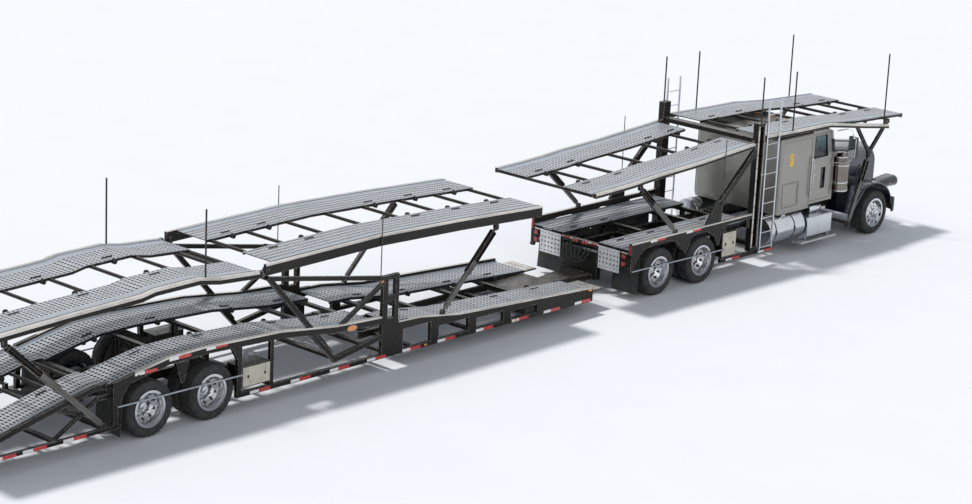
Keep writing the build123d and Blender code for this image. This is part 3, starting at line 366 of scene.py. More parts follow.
def bright_metal(name, base, rough, brushed=None, dirt=0.25):
    """Polished or brushed metal with faint smears."""
    s = Shader(name, Metallic=1.0)
    smear = s.span(s.noise(3, 7, 0.65), 0.45, 0.75)
    s.colour(s.mix(s.times(smear, dirt), base, dimmed(base, 0.45)))
    grain = s.noise(120, 3, 0.5, brushed or (1, 1, 1))
    s.roughness(s.span(grain, 0.3, 0.7, rough * 0.7, rough * 1.5))
    s.bump(grain, 0.08 if brushed else 0.03, 0.0008)
    return s.material


def car_paint(name, base, shade, metallic, rough, coat):
    """Body paint with fine flakes, a soft change of tone and a thin film of dust."""
    s = Shader(name, Metallic=metallic, Coat_Weight=coat, Coat_Roughness=0.06)
    tone = s.mix(s.span(s.cells(900), 0.0, 0.6), base, shade)
    film = s.times(s.span(s.noise(2.2, 6), 0.4, 0.75), 0.35)
    low = s.span(s.noise(0.9, 4), 0.3, 0.7)
    tone = s.mix(s.times(low, 0.35), tone, shade)
    s.colour(s.mix(film, tone, dimmed(base, 0.8, 0.03)))
    s.uneven(11, 5, rough, rough + 0.12)
    s.bump(s.noise(260, 2), 0.05, 0.0006)
    return s.material


def rubber(name, tone, dusty, rough=0.75):
    """Dull rubber with road dust."""
    s = Shader(name)
    dust = s.span(s.noise(7, 7, 0.65), 0.4, 0.8)
    s.colour(s.mix(dust, tone, dusty))
    s.uneven(30, 3, rough - 0.1, rough + 0.15)
    s.bump(s.noise(160, 4), 0.35, 0.0012)
    return s.material


def lens(name, tone, glow=0.0):
    """A moulded lamp lens with fine ribs."""
    s = Shader(name, Roughness=0.12, Coat_Weight=0.8, Coat_Roughness=0.05, Transmission_Weight=0.15,
               Emission_Color=(*tone, 1), Emission_Strength=glow)
    values = {"Scale": 28, "Vector": s.place}
    ribs = s.add("ShaderNodeTexWave", values, wave_type="BANDS", bands_direction="Z").outputs["Fac"]
    s.colour(s.mix(ribs, dimmed(tone, 0.7), tone))
    s.bump(ribs, 0.4, 0.002)
    return s.material


def plain_plastic(name, tone, rough, grain=180, strength=0.2):
    """Moulded plastic, film or cloth with a fine grain."""
    s = Shader(name)
    s.colour(s.mix(s.span(s.noise(6, 5), 0.35, 0.7), tone, dimmed(tone, 0.7, 0.01)))
    s.uneven(25, 3, rough - 0.08, rough + 0.1)
    s.bump(s.noise(grain, 3), strength, 0.001)
    return s.material


def tape_film(name, tone):
    """Reflective film with its small cells and some road dirt."""
    s = Shader(name, Roughness=0.35, Coat_Weight=0.5, Coat_Roughness=0.15)
    dirt = s.span(s.noise(16, 6), 0.5, 0.8)
    s.colour(s.mix(s.times(dirt, 0.6), tone, dimmed(tone, 0.35)))
    s.bump(s.cells(420), 0.3, 0.0008)
    return s.material


def clear_glass(name, tint):
    """Tinted glass with a thin film of dirt."""
    s = Shader(name, Roughness=0.03, Transmission_Weight=1.0, IOR=1.45)
    film = s.span(s.noise(5, 6), 0.5, 0.8)
    s.colour(s.mix(s.times(film, 0.3), tint, dimmed(tint, 0.7, 0.1)))
    s.roughness(s.span(s.noise(12, 4), 0.4, 0.8, 0.02, 0.09))
    return s.material


FRAME_TONE = (0.010, 0.009, 0.008)
FRAME_LIGHT = (0.021, 0.0175, 0.014)
frame_paint = worn_paint("frame_paint", FRAME_TONE, FRAME_LIGHT, (0.62, 0.58, 0.52), 1.0, 0.012, 0.2, 0.2)
dark_steel = worn_paint("dark_steel", (0.012, 0.012, 0.013), (0.03, 0.028, 0.026), (0.3, 0.29, 0.28),
                        0.6, 0.006, 0.4)
grey_steel = worn_paint("grey_steel", (0.08, 0.076, 0.07), (0.17, 0.16, 0.147), (0.66, 0.63, 0.59),
                        1.0, 0.012, 0.28)
# The tracks under the perforated plates get near black paint as painted shade seen through the holes, with
# bright chipped edges
track_under_shade = worn_paint("track_under_shade", (0.012, 0.013, 0.015), (0.022, 0.024, 0.027), (0.3, 0.31, 0.32),
                         0.5, 0.006, 0.5)
zinc = galvanised("galvanised_sheet", (0.44, 0.46, 0.49), (0.62, 0.63, 0.65))
zinc_side = galvanised("galvanised_edge", (0.34, 0.37, 0.41), (0.47, 0.495, 0.53), 0.36)
zinc_pale = galvanised("galvanised_plate", (0.62, 0.63, 0.64), (0.78, 0.785, 0.79), 0.34)
# Pale bare metal: wear on the skid plates and mast strips, and painted sun highlight on the deck lips
lip_metal = galvanised("worn_lip_and_highlight", (0.60, 0.565, 0.51), (0.76, 0.73, 0.69), 0.32, 0.6, 0.6)
tyre_rubber = rubber("tyre_rubber", (0.012, 0.012, 0.013), (0.06, 0.056, 0.05))
flap_rubber = rubber("flap_rubber", (0.012, 0.012, 0.012), (0.04, 0.038, 0.035), 0.6)
rim_steel = bright_metal("rim_steel", (0.55, 0.56, 0.58), 0.2, (1, 6, 1), 0.5)
rim_alloy = bright_metal("rim_alloy", (0.66, 0.67, 0.69), 0.14, None, 0.4)
chrome = bright_metal("chrome", (0.56, 0.565, 0.575), 0.06)
# Chrome made dark as painted reflection of dark surroundings, with dirty smears
dark_reflection_chrome = bright_metal("dark_reflection_chrome", (0.21, 0.19, 0.165), 0.1, None, 0.6)
brushed = bright_metal("brushed_alloy", (0.62, 0.64, 0.67), 0.26, (0.4, 6, 6))
tank_metal = bright_metal("tank_alloy", (0.60, 0.62, 0.65), 0.18, (8, 0.4, 0.4))
rod_steel = bright_metal("rod_steel", (0.7, 0.71, 0.73), 0.14)
cab_paint = car_paint("pewter_paint", (0.36, 0.345, 0.315), (0.25, 0.24, 0.22), 0.75, 0.3, 0.6)
hood_paint = car_paint("dark_blue_paint", (0.014, 0.021, 0.042), (0.006, 0.009, 0.018), 0.3, 0.16, 0.7)
black_plastic = plain_plastic("black_plastic", (0.015, 0.015, 0.016), 0.45)
seal_rubber = rubber("seal_rubber", (0.01, 0.01, 0.01), (0.02, 0.02, 0.02), 0.55)
beige_panel = plain_plastic("beige_panel", (0.62, 0.58, 0.47), 0.5, 60, 0.15)
label_film = plain_plastic("amber_label", (0.85, 0.52, 0.06), 0.35, 60, 0.1)
interior_trim = plain_plastic("interior_trim", (0.07, 0.065, 0.06), 0.6)
seat_cloth = plain_plastic("seat_cloth", (0.055, 0.055, 0.06), 0.85, 420, 0.5)
red_lens = lens("red_lens", (0.42, 0.012, 0.01), 0.05)
amber_lens = lens("amber_lens", (0.9, 0.28, 0.02), 0.15)
clear_lens = lens("clear_lens", (0.75, 0.77, 0.8))
red_film = tape_film("red_film", (0.62, 0.03, 0.025))
white_film = tape_film("white_film", (0.82, 0.82, 0.8))
window_glass = clear_glass("window_glass", (0.62, 0.72, 0.74))
door_glass = clear_glass("door_glass", (0.13, 0.22, 0.23))
engine_iron = worn_paint("engine_iron", (0.05, 0.05, 0.05), (0.1, 0.095, 0.09), (0.3, 0.3, 0.3),
                         0.4, 0.01, 0.6)

node_materials = {
    "dual_rim": rim_steel, "steer_rim": rim_alloy, "axle_steel": dark_steel, "frame_black": frame_paint,
    "engine": engine_iron, "galvanised": track_under_shade, "ladder_alloy": brushed, "tank_alloy": tank_metal,
    "cab_paint": cab_paint, "glass": window_glass, "interior": interior_trim, "chrome": chrome,
    "mirror_black": black_plastic, "hood_paint": hood_paint, "barrel_steel": grey_steel,
    "rod_chrome": rod_steel, "tyre": tyre_rubber,
}
# The air cleaners take the darkened chrome as painted reflection
painted = {"front_bumper": dark_steel, "air_cleaners": dark_reflection_chrome}
for part in frame["record"]["subparts"]:
    item = nodes[part["node"]]
    item.data.materials.clear()
    item.data.materials.append(painted.get(part["node"], node_materials[part["material_slot"]]))


# Tyres with their tread, on each wheel of the frame
TREAD_STEPS = 90
TREAD_PITCH = 3
CROWN_HALF = 0.1
SIDEWALL_Y = 0.13987


def tyre_mesh(y_places, blocked):
    """Tyres with grooves and raised side rings; cuts across the tread make blocks of it."""
    shape = Mesh()
    wall = [(0.289, -0.108), (0.305, -0.121), (0.32, -0.134), (0.352, -0.141), (0.392, -0.1415),
            (0.425, -0.134), (0.444, -0.124), (0.455, -0.112)]
    crown = [(0.4595, -0.104)]
    for g in (-0.078, -0.028, 0.028, 0.078):
        crown += [(0.4598, g - 0.011), (0.444, g - 0.006), (0.444, g + 0.006), (0.4598, g + 0.011)]
    crown.append((0.4595, 0.104))
    profile = wall + crown + [(r, -y) for r, y in reversed(wall)]
    count = len(profile)
    for y_mid in y_places:
        verts = []
        faces = []
        for k, (c, s) in enumerate(circle(TREAD_STEPS)):
            cut = blocked and k % TREAD_PITCH == 0
            for r, y in profile:
                depth = 0.0
                if cut and abs(y) > CROWN_HALF and r > 0.44:
                    depth = 0.009
                elif cut and abs(y) < CROWN_HALF and r > 0.458:
                    depth = 0.004
                verts.append(((r - depth) * c, y_mid + y, (r - depth) * s))
            faces += band(k * count, (k + 1) % TREAD_STEPS * count, count)
        shape.add(verts, faces, True)
        for sign in (-1, 1):
            for radius in (0.335, 0.408):
                bead = [(radius - 0.003, 0), (radius, 0.0024), (radius + 0.003, 0)]
                shape.turned((0, y_mid + sign * SIDEWALL_Y, 0), (0, sign, 0), bead, 60)
    return shape.data("tyre_mesh")


twin_tyres = tyre_mesh((DUAL_OUTER_Y, DUAL_OUTER_Y - DUAL_SPACING), True)
steer_tyres = tyre_mesh((STEER_Y,), False)


NUT_COUNT = 10
NUT_CIRCLE = 0.143


def nut_ring(shape, y):
    """Wheel nuts on their studs, on a circle about the wheel's axis."""
    nut, length = 0.017, 0.026
    for c, s in circle(NUT_COUNT, 0.5):
        centre = (NUT_CIRCLE * c, y, NUT_CIRCLE * s)
        shape.turned(centre, ACROSS, [(nut * 1.25, 0), (nut * 1.25, 0.004), (nut, 0.004)], 12, False)
        shape.turned(centre, ACROSS, [(nut, 0.004), (nut, length), (nut * 0.8, length + 0.003),
                                      (nut * 0.5, length + 0.003), (nut * 0.5, length + 0.012),
                                      (0, length + 0.012)], 6, False)


def bolt_ring(shape, y, ring_radius, count, radius):
    """Bolts on a circle about the wheel's axis."""
    for c, s in circle(count):
        shape.bolt((ring_radius * c, y, ring_radius * s), ACROSS, radius, radius)


def holed_band(shape, face, outer, inner, count, hole_width, hole_length):
    """A cone of sheet round the y axis with a ring of hand holes, between two (radius, along) edges."""
    steps = 16
    mean = (outer[0] + inner[0]) / 2
    for sector in range(count):
        middle = 2 * math.pi * (sector + 0.5) / count
        verts = []
        for ring in range(3):
            for c, s in circle(steps):
                if ring == 0:
                    reach = max(abs(c), abs(s))
                    turn, share = c / reach * math.pi / count, 0.5 + 0.5 * s / reach
                else:
                    turn = c * hole_width / mean
                    share = 0.5 + s * hole_length / math.dist(outer, inner)
                radius = inner[0] + (outer[0] - inner[0]) * share
                along = inner[1] + (outer[1] - inner[1]) * share - (0.01 if ring == 2 else 0)
                angle = middle + turn
                verts.append((radius * math.cos(angle), face + along, radius * math.sin(angle)))
        shape.add(verts, band(0, steps, steps) + band(steps, 2 * steps, steps), True)


def dual_trim():
    """Nuts, hub cap, dished disc with its hand holes and valve of a twin wheel."""
    shape = Mesh()
    face = DUAL_OUTER_Y - DUAL_SPACING / 2
    nut_ring(shape, face + 0.011)
    hub = [(0.112, 0.06), (0.1, 0.075), (0.064, 0.082), (0.064, 0.128), (0.05, 0.134), (0, 0.134)]
    shape.turned((0, face, 0), ACROSS, hub, 28)
    well = [(0.2615, 0.282), (0.2535, 0.272), (0.2525, 0.226), (0.2455, 0.212), (0.2445, 0.166)]
    shape.turned((0, face, 0), ACROSS, well, 48)
    holed_band(shape, face, (0.2445, 0.166), (0.172, 0.07), 10, 0.027, 0.036)
    shape.turned((0, face, 0), ACROSS, [(0.172, 0.07), (0.166, 0.03), (0.164, 0.012)], 40)
    bolt_ring(shape, face + 0.078, 0.085, 8, 0.009)
    shape.tube([(0.2, face + 0.03, 0), (0.215, face + 0.07, 0), (0.222, face + 0.13, 0)], 0.006, 6)
    return shape.data("dual_trim_mesh")


def steer_trim():
    """Nuts, hub cap with its bolts and valve of a steer wheel."""
    shape = Mesh()
    face = STEER_Y + 0.108
    nut_ring(shape, face)
    hub = [(0.1, 0.002), (0.092, 0.03), (0.066, 0.044), (0.062, 0.07), (0.045, 0.08), (0, 0.08)]
    shape.turned((0, face, 0), ACROSS, hub, 28)
    bolt_ring(shape, face + 0.036, 0.078, 6, 0.007)
    shape.tube([(0.21, face - 0.05, 0), (0.225, face - 0.02, 0), (0.228, face + 0.02, 0)], 0.005, 6)
    return shape.data("steer_trim_mesh")


def steer_drum_shade():
    """A near black brake drum behind the hand holes of a steer wheel, which also serves as painted shade seen
    through them.
    """
    shape = Mesh()
    drum = [(0.12, -0.1), (0.2, -0.1), (0.212, -0.085), (0.212, 0.02), (0.2, 0.034), (0.12, 0.036)]
    shape.turned((0, STEER_Y, 0), ACROSS, drum, 40)
    return shape.data("steer_drum_shade_mesh")


twin_trim = dual_trim()
front_trim = steer_trim()
# The steer drums are near black, as painted shade behind the hand holes
front_drum_shade = steer_drum_shade()


def on_wheel(name, data, material, x, sign, body, node=None):
    """Sets a wheel's mesh on its axle, turned round on the right, in place of the frame's node if named."""
    item = piece(name, data, material, body)
    turn = Matrix.Rotation(0 if sign > 0 else math.pi, 4, "Z")
    item.matrix_world = Matrix.Translation((x, 0, TYRE_RADIUS)) @ turn
    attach(item, body)
    if node:
        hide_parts(node)


for side, sign in SIDES.items():
    for axle, x in DUAL_AXLES.items():
        body = f"{axle}_wheels_{side}"
        tyres = f"{axle}_tyres_{side}"
        on_wheel(f"{axle}_treads_{side}", twin_tyres, tyre_rubber, x, sign, body, tyres)
        on_wheel(f"{axle}_nuts_{side}", twin_trim, rim_steel, x, sign, body)
    body = f"steer_wheel_{side}"
    tyre = f"steer_tyre_{side}"
    on_wheel(f"steer_tread_{side}", steer_tyres, tyre_rubber, STEER_X, sign, body, tyre)
    on_wheel(f"steer_nuts_{side}", front_trim, rim_alloy, STEER_X, sign, body)
    on_wheel(f"steer_drum_shade_{side}", front_drum_shade, dark_steel, STEER_X, sign, body)


# Perforated plates over the wheel tracks
HOLE_SIDES = 8
PLATE_BASE = 0.0008
PLATE_RISE = 0.006


def perforated(shape, line, y_span, pitch_x, pitch_y, hole_x, hole_y):
    """A sheet with rows of eight sided holes that lies on a track, along a line of (x, z) points."""
    rows = max(1, round((y_span[1] - y_span[0]) / pitch_y))
    width = (y_span[1] - y_span[0]) / rows
    hole = [(hole_x * c, hole_y * s) for c, s in circle(HOLE_SIDES, 0.5)]
    for (x0, z0), (x1, z1) in zip(line, line[1:]):
        length = math.dist((x0, z0), (x1, z1))
        ux, uz = (x1 - x0) / length, (z1 - z0) / length
        nx, nz = (-uz, ux) if ux > 0 else (uz, -ux)
        columns = max(1, round(length / pitch_x))
        step = length / columns

        def at(s, y, rise):
            return (x0 + ux * s + nx * rise, y, z0 + uz * s + nz * rise)

        verts = []
        faces = []
        for c in range(columns):
            for r in range(rows):
                s0, y0 = c * step, y_span[0] + r * width
                base = len(verts)
                for ds, dy in ((0, 0), (step, 0), (step, width), (0, width)):
                    verts.append(at(s0 + ds, y0 + dy, PLATE_RISE))
                for rise in (PLATE_RISE, PLATE_BASE):
                    verts += [at(s0 + step / 2 + ds, y0 + width / 2 + dy, rise) for ds, dy in hole]
                ring = base + 4
                for k in range(4):
                    before, corner = base + (k + 1) % 4, base + (k + 2) % 4
                    one, two = ring + 2 * k, ring + 2 * k + 1
                    faces += [(before, corner, one, ring + (2 * k - 1) % HOLE_SIDES), (corner, two, one)]
                faces += band(ring, ring + HOLE_SIDES, HOLE_SIDES)
        shape.add(verts, faces)
        y0, y1 = y_span
        borders = [((0, y), (length, y)) for y in y_span] + [((s, y0), (s, y1)) for s in (0, length)]
        for one, two in borders:
            edge = [at(*one, PLATE_BASE), at(*two, PLATE_BASE), at(*two, PLATE_RISE), at(*one, PLATE_RISE)]
            shape.add(edge, [(0, 1, 2, 3)])


# Hole patterns: the pitch along x and y, then half the hole's width along x and y
ROUND = (0.086, 0.082, 0.031, 0.029)
SLOTS = (0.062, 0.125, 0.021, 0.05)
EDGE_OUT = TRACK_OUTER - 0.004
plate_decks = [
    # name, body, hole pattern, where the plain outer edge starts and ends in y, line
    ("tractor_lower_plates", "tractor", SLOTS, 1.09, EDGE_OUT, [(3.24, 1.01), (6.9, 1.01)]),
    ("tractor_deck_plates", "tractor_deck", ROUND, 1.02, EDGE_OUT,
     [(6.8, 2.556), (5.14, 2.43), (3.92, 2.37), (3.2, 2.31), (2.12, 2.27)]),
    ("headrack_plates", "headrack", ROUND, 1.02, EDGE_OUT,
     [(7.26, 2.665), (8.16, 2.645), (9.37, 2.635), (10.4, 2.55), (12.04, 2.485)]),
    ("trailer_front_lower_plates", "trailer", ROUND, 1.09, EDGE_OUT,
     [(-2.9, 0.78), (-2.37, 0.76), (-1.37, 0.62), (2.18, 0.44)]),
    ("trailer_bogie_plates", "trailer", ROUND, 1.09, EDGE_OUT,
     [(-9.02, 0.985), (-8.41, 1.11), (-7.93, 1.19), (-7.2, 1.205), (-5.59, 1.145), (-4.36, 0.99),
      (-3.4, 0.93)]),
    ("front_deck_plates", "trailer_front_deck", SLOTS, 1.06, EDGE_OUT,
     [(-5.74, 2.37), (-3.39, 2.425), (-1.47, 2.375), (0.65, 2.285)]),
    ("rear_deck_plates", "trailer_rear_deck", ROUND, 1.0, EDGE_OUT,
     [(-6.09, 2.27), (-6.92, 2.32), (-7.33, 2.39), (-8.22, 2.37), (-8.49, 2.32), (-9.95, 2.27),
      (-11.13, 2.21), (-12.14, 2.15)]),
    ("ramp_plates", "rear_ramp", SLOTS, 1.04, 1.106,
     [(-9.08, 1.02), (-9.3, 1.015), (-9.67, 0.94), (-10.41, 0.77), (-11.14, 0.59), (-12.19, 0.395)]),
]


def plain_edge(shape, line, y_span):
    """A smooth sheet beside the perforated one, with its outer lip turned up."""
    start, end = y_span
    turned_up = end - 0.018
    shape.swept(line, [(start, PLATE_BASE), (start, PLATE_RISE), (turned_up, PLATE_RISE),
                       (turned_up + 0.004, PLATE_RISE + 0.016), (end, PLATE_RISE + 0.018), (end, PLATE_BASE)])


for name, body, pattern, edge_start, edge_end, line in plate_decks:
    sheet = Mesh()
    perforated(sheet, line, (TRACK_INNER + 0.004, edge_start), *pattern)
    both(name, sheet, zinc, body)
    margin = Mesh()
    plain_edge(margin, line, (edge_start, edge_end))
    both(name.replace("_plates", "_plate_edges"), margin, zinc_side, body)

# Bright lips along the outer rails of the decks: partly bare worn metal, partly painted sun highlight
deck_lips = [
    # name, body, height, top line of the rail
    ("tractor_deck_lips", "tractor_deck", 0.042,
     [(6.85, 2.58), (5.14, 2.45), (3.92, 2.39), (3.2, 2.33), (2.12, 2.29)]),
    ("headrack_lips", "headrack", 0.042,
     [(7.23, 2.68), (8.16, 2.66), (9.37, 2.65), (10.51, 2.48), (11.46, 2.35)]),
    ("front_deck_lips", "trailer_front_deck", 0.03,
     [(-5.95, 2.38), (-3.39, 2.44), (-1.47, 2.39), (0.65, 2.3)]),
    ("rear_deck_lips", "trailer_rear_deck", 0.045,
     [(-6.09, 2.29), (-6.92, 2.34), (-7.33, 2.41), (-8.22, 2.39), (-8.49, 2.34), (-9.95, 2.29),
      (-11.13, 2.23), (-12.14, 2.17)]),
    ("bogie_lips", "trailer", 0.028,
     [(-8.6, 1.12), (-8.41, 1.16), (-7.93, 1.24), (-7.2, 1.26), (-5.59, 1.2), (-4.36, 1.05), (-3.3, 1.0)]),
    ("trailer_front_lips", "trailer", 0.024, [(-2.89, 0.846), (-2.37, 0.83), (-1.37, 0.69), (2.17, 0.511)]),
    ("tractor_rack_lips", "tractor", 0.026, [(3.25, 1.15), (6.92, 1.15)]),
]


def lip(shape, line, height):
    """A thin bright strip over the outer top corner of a rail: partly bare worn metal, partly painted sun
    highlight.
    """
    outer, inner = SIDE_CLEAR + 0.0015, SIDE_OUTER - 0.066
    shape.swept(line, [(SIDE_CLEAR, -height), (outer, -height), (outer, 0.0005), (SIDE_CLEAR, 0.0017),
                       (inner, 0.0017), (inner, 0.0002), (SIDE_CLEAR, 0.0002)])


for name, body, height, line in deck_lips:
    strip = Mesh()
    lip(strip, line, height)
    both(name, strip, lip_metal, body)
strip = Mesh()
for x in ((6.934, 6.975), (7.124, 7.138)):
    strip.box(x, (SIDE_CLEAR, SIDE_OUTER + 0.002), (0.45, 2.9), 0.0006)
both("mast_wear_strips", strip, lip_metal, "tractor")
for body, start, end in (("tractor", (3.25, 1.28, 0.612), (6.01, 1.28, 0.575)),
                         ("trailer", (-8.96, 1.28, 0.645), (-6.43, 1.28, 0.63))):
    strip = Mesh()
    strip.tube([start, end], 0.0145, 12)
    both(f"{body}_guard_sleeves", strip, zinc_side, body)

# Channels over the struts that hold the masts, and plates over the skids of the coupling
strip = Mesh()
for y in (1.2, 1.26):
    strip.beam((6.94, y, 2.46), (5.87, y, 1.51), 0.008, 0.128, 0.003)
STRUT_NORMAL = (0.664, -0.748)
for off in (-0.06, 0.06):
    nx, nz = (off * n for n in STRUT_NORMAL)
    strip.beam((6.94 + nx, 1.23, 2.46 + nz), (5.87 + nx, 1.23, 1.51 + nz), 0.062, 0.008, 0.003)
both("mast_strut_channels", strip, frame_paint, "tractor")
strip = Mesh()
for x in ((2.14, 2.27), (2.29, 2.42), (2.44, 2.59)):
    strip.box(x, (0.54, 1.13), (0.3945, 0.4), 0.002)
both("skid_plates", strip, lip_metal, "trailer")


# Reflective tape, white then red, on the outer faces of the rails
TAPE_PROUD = 0.0015
TAPE_CHAMFER = 0.0004
TAPES = [white_film, red_film]


def tape_pairs(shape, starts, heights, width=0.05):
    """Pairs of a white and a red strip, each pair from its start along x."""
    for x, z in zip(starts, heights):
        for slot, (a, b) in ((0, (0.0, 0.19)), (1, (0.19, 0.44))):
            shape.slot = slot
            y = (SIDE_CLEAR, SIDE_OUTER + TAPE_PROUD)
            shape.box((x + a, x + b), y, around(z, width / 2), TAPE_CHAMFER)


trailer_tape = Mesh()
belly = [-6.25, -5.36, -4.48, -3.62, -2.78, -1.92, -0.95, -0.02, 0.83, 1.68]
tape_pairs(trailer_tape, belly, [0.287] * len(belly))
tape_pairs(trailer_tape, (-8.62, -7.94, -7.18), (1.09, 1.19, 1.21))
tape_pairs(trailer_tape, (-11.3, -10.74, -9.99), (0.32, 0.32, 0.32))
both("trailer_tape", trailer_tape, TAPES, "trailer")
tractor_tape = Mesh()
tape_pairs(tractor_tape, (3.79, 4.86), (1.11, 1.11))
tape_pairs(tractor_tape, (6.16,), (0.336,), 0.045)
for slot, x in ((0, (7.15, 7.34)), (1, (7.34, 7.6))):
    tractor_tape.slot = slot
    tractor_tape.box(x, (1.3, 1.3 + TAPE_PROUD), (0.316, 0.356), TAPE_CHAMFER)
both("tractor_tape", tractor_tape, TAPES, "tractor")
foot_bar = Mesh()
foot_bar.box((7.1, 7.61), (1.272, 1.3), (0.31, 0.362), 0.004)
for x in (7.2, 7.55):
    foot_bar.box(around(x, 0.02), (1.18, 1.273), (0.318, 0.354), 0.003)
both("ladder_foot_bars", foot_bar, dark_steel, "tractor")


# Lamps
def oval_lamp(shape, place, half_x, half_z, depth=0.012):
    """A flat oval lamp lens on its rim, facing out along y."""
    x, y, z = place
    count = 20
    verts = []
    for share, proud in ((1.0, 0.0), (1.0, depth * 0.6), (0.82, depth)):
        verts += [(x + half_x * share * c, y + proud, z + half_z * share * s) for c, s in circle(count)]
    verts.append((x, y + depth * 1.15, z))
    faces = band(0, count, count) + band(count, 2 * count, count)
    faces += [(2 * count + k, 2 * count + (k + 1) % count, 3 * count) for k in range(count)]
    shape.add(verts, faces, True)


SIDE_LAMP_X, SIDE_LAMP_Z = -4.0, 0.935
trailer_lamps = Mesh()
oval_lamp(trailer_lamps, (SIDE_LAMP_X, SIDE_OUTER, SIDE_LAMP_Z), 0.1, 0.042)
oval_lamp(trailer_lamps, (2.1, SIDE_OUTER, 0.47), 0.05, 0.022)
for x, z in ((-2.22, 0.29), (0.08, 0.29), (-3.32, 1.62)):
    oval_lamp(trailer_lamps, (x, SIDE_OUTER, z), 0.035, 0.018)
both("trailer_amber_lamps", trailer_lamps, amber_lens, "trailer")
lamp_ring = Mesh()
ring = [(SIDE_LAMP_X + 0.106 * c, SIDE_OUTER + 0.004, SIDE_LAMP_Z + 0.048 * s) for c, s in circle(24)]
lamp_ring.tube(ring + ring[:1], 0.005, 6, False)
both("side_lamp_bezels", lamp_ring, chrome, "trailer")


def round_lamp(shape, centre, axis, radius, depth=0.02):
    """A domed lens on its rim, along an axis."""
    profile = [(radius, 0), (radius, depth * 0.5), (radius * 0.86, depth), (radius * 0.5, depth * 1.25),
               (0, depth * 1.35)]
    shape.turned(centre, axis, profile, 24)


REARWARD = (-1, 0, 0)
REAR_FACE = 3.235
tail_lamps = Mesh()
tail_housing = Mesh()
for z in (0.74, 0.88):
    tail_housing.box((REAR_FACE - 0.03, REAR_FACE), (1.04, 1.16), around(z, 0.058), 0.006)
    round_lamp(tail_lamps, (REAR_FACE - 0.03, 1.1, z), REARWARD, 0.046)
tail_lamps.box((REAR_FACE - 0.012, REAR_FACE), (1.205, 1.255), (0.93, 1.12), 0.004)
for y in (0.16, 0.08):
    small = [(0.035, 0), (0.035, 0.012), (0.02, 0.018), (0, 0.019)]
    tail_lamps.turned((REAR_FACE - 0.001, y, 0.93), REARWARD, small, 16)
both("tail_lamps", tail_lamps, red_lens, "tractor")
both("tail_lamp_housings", tail_housing, black_plastic, "tractor")

ramp_lamps = Mesh()
for y in (1.01, 0.86, 0.18, 0.06):
    round_lamp(ramp_lamps, (-12.2, y, 0.385), REARWARD, 0.028, 0.012)
both("ramp_lamps", ramp_lamps, red_lens, "rear_ramp")

rear_tape = Mesh()
for index in range(7):
    y = 0.12 + index * 0.15
    rear_tape.slot = index % 2
    rear_tape.box((REAR_FACE - TAPE_PROUD, REAR_FACE), (y, y + 0.15), (0.94, 0.96), TAPE_CHAMFER)
both("rear_beam_tape", rear_tape, TAPES, "tractor")


# The perforated light panel at the tractor's rear
def holed_panel(shape, x, y_span, z_span, rows, columns, hole):
    """An upright panel across the truck, with a grid of square holes right through it."""
    thickness = 0.006
    ys = [y_span[0] + (y_span[1] - y_span[0]) * i / columns for i in range(columns + 1)]
    zs = [z_span[0] + (z_span[1] - z_span[0]) * i / rows for i in range(rows + 1)]
    for y in zip(ys, ys[1:]):
        for z in zip(zs, zs[1:]):
            verts = []
            for px in (x, x - thickness):
                for (y0, y1), (z0, z1) in ((y, z), (around(sum(y) / 2, hole), around(sum(z) / 2, hole))):
                    verts += [(px, y0, z0), (px, y1, z0), (px, y1, z1), (px, y0, z1)]
            faces = []
            for k in range(4):
                m = (k + 1) % 4
                faces += [(one + k, one + m, two + m, two + k) for one, two in ((0, 4), (8, 12), (4, 12))]
            shape.add(verts, faces)


light_panel = Mesh()
holed_panel(light_panel, REAR_FACE - 0.02, (0.48, 1.0), (0.53, 0.97), 5, 6, 0.017)
for z in (0.56, 0.93):
    light_panel.box((REAR_FACE - 0.02, REAR_FACE + 0.01), (0.5, 0.98), around(z, 0.012), 0.002)
both("rear_light_panels", light_panel, zinc_pale, "tractor")

# Air and electric lines that hang in loops from the rear beam
service = Mesh()
for y, drop, radius in ((0.1, 0.56, 0.013), (0.2, 0.63, 0.011), (0.3, 0.6, 0.013)):
    loop = []
    for k in range(13):
        t = k / 12
        sag = 4 * t * (1 - t)
        loop.append((3.2 - 0.1 * sag, y - 0.3 * t, 0.86 + (drop - 0.86) * sag))
    service.tube(loop, radius, 8)
both("rear_service_lines", service, seal_rubber, "tractor")


# Mud flaps
def flap(shape, x, y_span, z_span, lean=0.04):
    """A hanging rubber flap, slightly bowed to the rear."""
    rows = 8
    thickness = 0.01
    verts = []
    for j in range(rows + 1):
        t = j / rows
        z = z_span[1] + (z_span[0] - z_span[1]) * t
        bow = lean * t * t
        for y in y_span:
            verts += [(x - bow, y, z), (x - bow - thickness, y, z)]
    faces = []
    last = rows * 4
    for a in range(0, last, 4):
        b = a + 4
        faces += [(a, a + 2, b + 2, b), (a + 1, b + 1, b + 3, a + 3)]
        faces += [(a, b, b + 1, a + 1), (a + 2, a + 3, b + 3, b + 2)]
    faces += [(0, 1, 3, 2), (last, last + 2, last + 3, last + 1)]
    shape.add(verts, faces)


tractor_flaps = Mesh()
flap(tractor_flaps, 3.5, (0.64, 1.26), (0.12, 0.86))
flap(tractor_flaps, 10.74, (0.98, 1.2), (0.2, 0.62), 0.02)
both("tractor_mud_flaps", tractor_flaps, flap_rubber, "tractor")
trailer_flaps = Mesh()
flap(trailer_flaps, -8.86, (0.64, 1.26), (0.14, 0.86))
both("trailer_mud_flaps", trailer_flaps, flap_rubber, "trailer")

